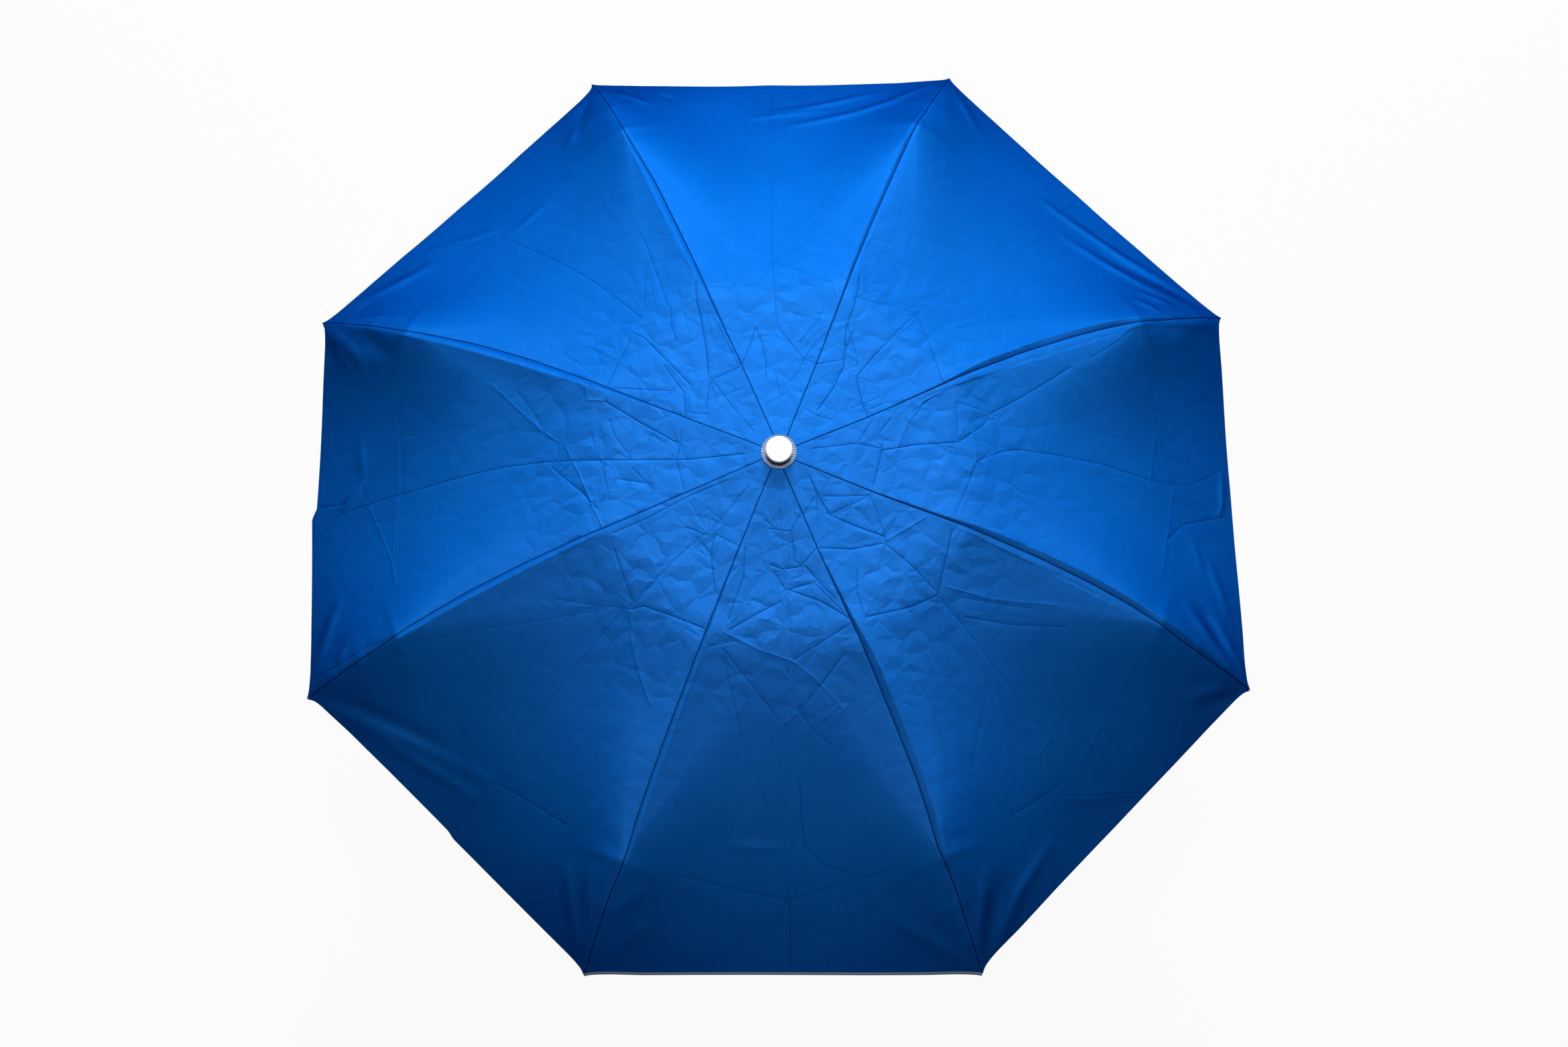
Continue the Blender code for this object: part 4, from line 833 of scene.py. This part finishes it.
def pulled_height(panel, out, across):
    """The sum of a panel's broad folds."""
    total = np.zeros(out.shape)
    for height, width, *line in pulled_folds[panel]:
        parts = segments(line)
        steps = [math.dist(start, end) for start, end in parts]
        best, run = np.full(out.shape, 1.0), np.zeros(out.shape)
        travelled = 0.0
        for (start, end), step in zip(parts, steps):
            along, _, _, far = beside_segment(out, across, start, end)
            closer = far < best
            best = np.where(closer, far, best)
            run = np.where(closer, travelled + np.clip(along, 0, step), run)
            travelled += step
        swell = np.sin(math.pi * np.clip(0.12 + 0.82 * run / sum(steps), 0, 1))
        total += pulled_more * height * MM * swell * np.exp(-((best / (width * MM)) ** 2))
    return total


# Ripples: the cloth is nowhere quite flat, so waves of random length and direction lie over each panel.
chance = np.random.default_rng(17)


def waves(count, shortest, longest):
    """Random plane waves, as wave numbers and phases."""
    length = chance.uniform(shortest, longest, count)
    angle = chance.uniform(0, math.tau, count)
    phase = chance.uniform(0, math.tau, count)
    return np.stack([math.tau / length * np.cos(angle), math.tau / length * np.sin(angle), phase], 1)


def rippled(out, across, sets):
    """The sum of plane waves, scaled to about one."""
    total = np.zeros_like(out)
    for kx, ky, phase in sets:
        total += np.sin(kx * out + ky * across + phase)
    return total / math.sqrt(len(sets) / 2)


wide_waves = {panel: waves(10, 0.09, 0.20) for panel in range(8)}
close_waves = {panel: waves(14, 0.018, 0.045) for panel in range(8)}

# Hems: how far each panel's edge is hollow, in millimetres, at shares of its half width. The corners
# stand out of it as small ears.
ear_width = 0.006
hem_stations = (-0.86, -0.71, -0.43, 0.0, 0.05, 0.43, 0.71, 0.86)
hem_hollows = {
    0: (6.3, 5.2, 2.1, 0.6, 0.6, 2.6, 6.1, 7.7),
    1: (9.3, 10.2, 5.8, 0.6, 0.6, 4.3, 8.0, 8.8),
    2: (14.2, 11.7, 6.3, 3.2, 3.2, 3.2, 6.6, 7.7),
    3: (6.9, 5.8, 4.3, 1.5, -3.9, -0.2, 3.0, 4.6),
    4: (7.1, 8.1, 8.0, 6.8, 4.6, 4.4, 4.6, 5.0),
    5: (2.0, 1.1, 1.1, 0.9, 0.9, 0.8, 1.1, 1.8),
    6: (6.8, 5.7, 5.6, 4.6, 4.6, 4.9, 5.6, 5.5),
    7: (5.6, 4.2, 3.3, 3.2, 3.2, 4.3, 5.0, 6.2),
}


def hem_line(panel, across):
    """How far out along the panel's middle the hem lies."""
    half_width = corner_radius * lean
    place = across / half_width
    hollow = np.interp(place, hem_stations, hem_hollows[panel]) * MM
    ear = 1 - np.exp(-np.maximum(0, 1 - np.abs(place)) * half_width / ear_width)
    return corner_radius * slant - hollow * ear


def panel_place(reach, tangent):
    """Distances out along the panel's middle and across it, from those along a rib and aside of it."""
    aside = np.abs(tangent)
    out = reach * slant + aside * lean
    return out, np.where(tangent >= 0, 1, -1) * (aside * slant - reach * lean)


def ridge_height(reach, tangent):
    """The smooth sheet's height beside a rib, rounded over it."""
    return panel_height(*panel_place(reach, np.sqrt(tangent**2 + (3 * MM) ** 2)))


# Sheet beside a seam: the raised strip's height for its width and the length it runs out over, how far
# the sheet is filled in under the seam, the stitches' groove, the ripples and the creases' own depth.
strip_rise, strip_run, least_strip = 0.72, 0.022, 0.0002
fill_more, fill_width = 0.0002, 0.030
groove_depth, groove_width, groove_start = 0.0003, 0.0011, 0.016
wide_ripple, close_ripple, close_middle, close_reach = 0.0004, 0.0001, 0.110, 0.080
crease_depth, crease_width = 0.0003, 0.0022
bottom_panel_number = 5


def sheet_point(rib, reach, tangent, share):
    """Place across the rib, height and marks of the sheet, by distances along the rib and from the seam."""
    fade = (1 - share**2) ** 2
    wander = beside_rib(seam_asides, rib, reach)
    shift = wander * fade
    moved = tangent + shift
    height = ridge_height(reach, moved - 0.5 * shift)
    short = panel_height(*panel_place(reach, 0 * reach)) - ridge_height(reach, -0.5 * wander)
    height += np.maximum(0, short + fill_more) * np.exp(-((moved / fill_width) ** 2)) * fade
    strip = np.maximum(beside_rib(strip_widths, rib, reach), least_strip)
    over = np.where(tangent > strip, np.exp(-(tangent - strip) / strip_run), np.clip(tangent / strip, 0, 1))
    height += strip_rise * strip * over * fade
    sewn = np.clip((reach - groove_start) / 0.01, 0, 1)
    height -= groove_depth * sewn * np.exp(-((tangent / groove_width) ** 2))
    near_rib = np.clip((np.abs(tangent) - 0.001) / 0.007, 0, 1)
    marks = {name: np.zeros_like(height) for name in ("fold_gap", "fold_size", "pale_edge", "hem_gap")}
    out, across = panel_place(reach, tangent)
    real_out, real_across = panel_place(reach, moved)
    for panel, chosen in (((rib - 1) % 8, tangent >= 0), ((rib - 2) % 8, tangent < 0)):
        x, y = real_out[chosen], real_across[chosen]
        gap, size = crease_marks(panel, x, y)
        add = pulled_height(panel, x, y)
        add += wide_ripple * rippled(x, y, wide_waves[panel]) * np.clip((x - 0.03) / 0.10, 0, 1)
        crumpled = np.clip(1.3 - np.abs(x - close_middle) / close_reach, 0, 1)
        add += close_ripple * crumpled * rippled(x, y, close_waves[panel])
        add -= crease_depth * size * np.exp(-np.abs(gap) / crease_width)
        height[chosen] += add * near_rib[chosen]
        marks["fold_gap"][chosen], marks["fold_size"][chosen] = gap / MM, size
        marks["hem_gap"][chosen] = (hem_line(panel, across[chosen]) - out[chosen]) / MM
        # The bottom panel alone is marked for the painted highlight on its hem.
        if panel == bottom_panel_number:
            marks["pale_edge"][chosen] = 1.0
    return moved, height, marks, out, across


def vertex_places(mesh):
    """A mesh's vertices, as rows of three numbers."""
    flat = np.empty(len(mesh.vertices) * 3)
    mesh.vertices.foreach_get("co", flat)
    return flat.reshape(-1, 3)


def strip_grid(name, rows, columns):
    """A flat grid, smooth with sharp rims, and its vertices' places across and along, from -1 to 1."""
    bm = bmesh.new()
    bmesh.ops.create_grid(bm, x_segments=columns, y_segments=rows, size=1)
    for face in bm.faces:
        face.smooth = True
    for edge in bm.edges:
        edge.smooth = not edge.is_boundary
    made = as_object(name, bm)
    aside, row, _ = vertex_places(made.data).T
    return made, aside, row


def reach_of_hem(rib, share):
    """How far along the rib the hem lies, for a share of the way from the rib to the panel's middle."""
    far = np.full(len(share), 0.45)
    widen = slant + np.abs(share) * opening * lean
    for _ in range(6):
        across = np.sign(share) * -far * lean * (1 - np.abs(share))
        left, right = hem_line((rib - 1) % 8, across), hem_line((rib - 2) % 8, across)
        far = np.where(share >= 0, left, right) / widen
    return far


crowding, cloth_thickness, folded_share = 1.45, 0.0003, 0.045


def canopy_strip(name, rib, start, end, rows, columns, body, side=0):
    """A strip of the sheet over one rib, or on one side of it, between two lines across it or to the hem."""
    made, aside, row = strip_grid(name, rows, columns)
    mesh = made.data
    if side:
        aside = side * (1 + aside) / 2
    share = np.sign(aside) * np.abs(aside) ** crowding
    far = reach_of_hem(rib, share) if end is None else end
    reach = start + (far - start) * (row + 1) / 2
    tangent = reach * opening * share
    moved, height, marks, out, across = sheet_point(rib, reach, tangent, share)
    cosine, sine = math.cos(rib_angle(rib)), math.sin(rib_angle(rib))
    place = np.stack([reach * cosine - moved * sine, reach * sine + moved * cosine, height], 1)
    other = np.where(share[:, None] >= 0, flex(rib + 1), flex(rib - 1))
    half = np.abs(share[:, None]) / 2
    place += (flex(rib) * (1 - half) + other * half) * flex_share(out / slant)[:, None]
    mesh.vertices.foreach_set("co", place.ravel())
    for label, values in marks.items():
        mesh.attributes.new(label, "FLOAT", "POINT").data.foreach_set("value", values.astype(np.float32))
    corners = np.empty(len(mesh.loops), np.int32)
    mesh.loops.foreach_get("vertex_index", corners)
    for label, pair in (("cloth", (across, out)), ("seam", (tangent, reach))):
        spread_out = np.stack(pair, 1)[corners].astype(np.float32)
        mesh.uv_layers.new(name=label).data.foreach_set("uv", spread_out.ravel())
    if mesh.polygons[0].normal.z < 0:
        mesh.flip_normals()
    mesh.materials.append(canopy_blue)
    mesh.materials.append(canopy_silver)
    thick = made.modifiers.new("coating", "SOLIDIFY")
    thick.thickness, thick.offset, thick.material_offset = cloth_thickness, -1, 1
    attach(made, body)
    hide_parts("canopy")
    if body != "upper_stage":
        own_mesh(made)


crown_start, crown_end = 0.0046, 0.0150
for n in rib_numbers:
    inner, middle, outer = f"rib_inner_{n}", f"rib_middle_{n}", f"rib_outer_{n}"
    canopy_strip(f"canopy_crown_{n}", n, crown_start, crown_end, 10, 24, "upper_stage")
    canopy_strip(f"canopy_inner_{n}", n, crown_end, inner_elbow, 120, 140, inner)
    canopy_strip(f"canopy_middle_{n}", n, inner_elbow, outer_elbow, 150, 140, middle)
    for word, side in (("near", 1), ("far", -1)):
        strip_name = f"canopy_outer_{n}_{word}"
        canopy_strip(strip_name, n, outer_elbow, None, 90, 70, outer, side)

# Outer ribs and tips: copies of the solid wires and their caps, bent in or out with the cloth that
# holds them.
for n in rib_numbers:
    for part, slot in (("outer", "rib_steel"), ("tip", "tip_plastic")):
        source = nodes[f"rib_{part}_{n}"]
        bent = source.data.copy()
        bent.transform(source.matrix_world)
        places = vertex_places(bent)
        reach = np.hypot(places[:, 0], places[:, 1])
        places += flex(n) * flex_share(reach)[:, None]
        bent.vertices.foreach_set("co", places.ravel())
        made = bpy.data.objects.new(f"bent_{part}_{n}", bent)
        scene.collection.objects.link(made)
        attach(made, f"rib_outer_{n}")
        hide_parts(f"rib_{part}_{n}")

# Washer: a thin disc of translucent blue-grey film with about forty pressed pleats, clamped on the canopy's
# centre by the cap. Painted shade darkens the film along each pleat's valley.
washer_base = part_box("canopy_washer")[0].z + 0.0004
washer_rings = (0.0085, 0.0115, 0.0122, 0.0136, 0.0148, 0.0156)
pleat_count, pleat_start, pleat_height, pleat_run = 40, 0.0113, 0.00016, 0.002
scallop_start, scallop_share = 0.0150, 0.022
washer = bmesh.new()
bmesh.ops.create_circle(washer, cap_ends=False, segments=240, radius=0.0034)
rings = set(washer.verts)
for radius in washer_rings:
    rim = [e for e in washer.edges if len(e.link_faces) < 2 and all(v in rings for v in e.verts)]
    grown = bmesh.ops.extrude_edge_only(washer, edges=rim)
    rings = {v for v in grown["geom"] if isinstance(v, bmesh.types.BMVert)}
    for vert in rings:
        move_out(vert, radius / math.hypot(vert.co.x, vert.co.y))
        vert.co.z = -0.00010 * max(0.0, (radius - washer_rings[1]) / (washer_rings[-1] - washer_rings[1]))
pleat_shade_mark = washer.verts.layers.float.new("pleat")
for vert in washer.verts:
    radius, angle = math.hypot(vert.co.x, vert.co.y), math.atan2(vert.co.y, vert.co.x)
    pleat = math.cos(pleat_count * angle)
    notch = 0.5 - 0.5 * pleat
    grown = min(1.0, max(0.0, (radius - pleat_start) / pleat_run))
    vert.co.z += washer_base + pleat_height * pleat * grown
    if radius > scallop_start:
        move_out(vert, 1 - scallop_share * notch)
    vert[pleat_shade_mark] = notch**4 * grown
face_up(washer)
bmesh.ops.solidify(washer, geom=list(washer.faces), thickness=0.00025)
film, tree, shader = new_material("washer_film")
spot = add_node(tree, "TexCoord", {})["Object"]
milky = spread(tree, noise(tree, spot, 700.0), 0.0, 1.0)
film_colour = shade(tree, milky, (0.17, 0.25, 0.46), (0.27, 0.36, 0.56))
# Painted shade: the film's colour is darkened along each pleat's valley.
pleat_shade = product(tree, attribute(tree, "pleat"), 0.8)
fill(tree, shader, {
    "Base Color": shade(tree, pleat_shade, film_colour, (0.045, 0.075, 0.17)),
    "Roughness": spread(tree, noise(tree, spot, 400.0), 0.22, 0.34),
    "Normal": bump(tree, noise(tree, spot, 900.0), 0.00004, 0.5),
    "Transmission Weight": 0.12,
})
piece("washer_film", washer, film, "upper_stage", "canopy_washer", smooth=50)

# Cap: a glossy white button pushed on the notch's stud, flat on top, with a rounded edge and a side that
# tapers in to its foot.
cap_low, cap_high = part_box("top_cap")
cap_radius, cap_height, cap_rounding = 0.0120, cap_high.z - cap_low.z, 0.0016
stud_bore, stud_depth = 0.0033, 0.0050
button = [(0, stud_depth), (stud_bore, stud_depth), (stud_bore, 0), (0.0103, 0), (0.0106, 0.0003)]
edge_radius, edge_height = cap_radius - cap_rounding, cap_height - 0.0022
for k in range(9):
    a = math.pi / 2 * k / 8
    button.append((edge_radius + cap_rounding * math.cos(a), edge_height + cap_rounding * math.sin(a)))
button += [(0.0055, cap_height - 0.00035), (0, cap_height - 0.0002)]
cap = spun([(radius, cap_low.z + height) for radius, height in button])
cap_white = moulded_plastic("cap_white", (0.86, 0.87, 0.89), (0.90, 0.90, 0.91), 0.24, 0.00001, coat=0.6)
fill(cap_white.node_tree, cap_white.node_tree.nodes["Principled BSDF"], {
    "Subsurface Weight": 0.5,
    "Subsurface Radius": (1.0, 0.95, 0.9),
    "Subsurface Scale": 0.003,
})
piece("cap_dome", cap, cap_white, "upper_stage", "top_cap", smooth=45)
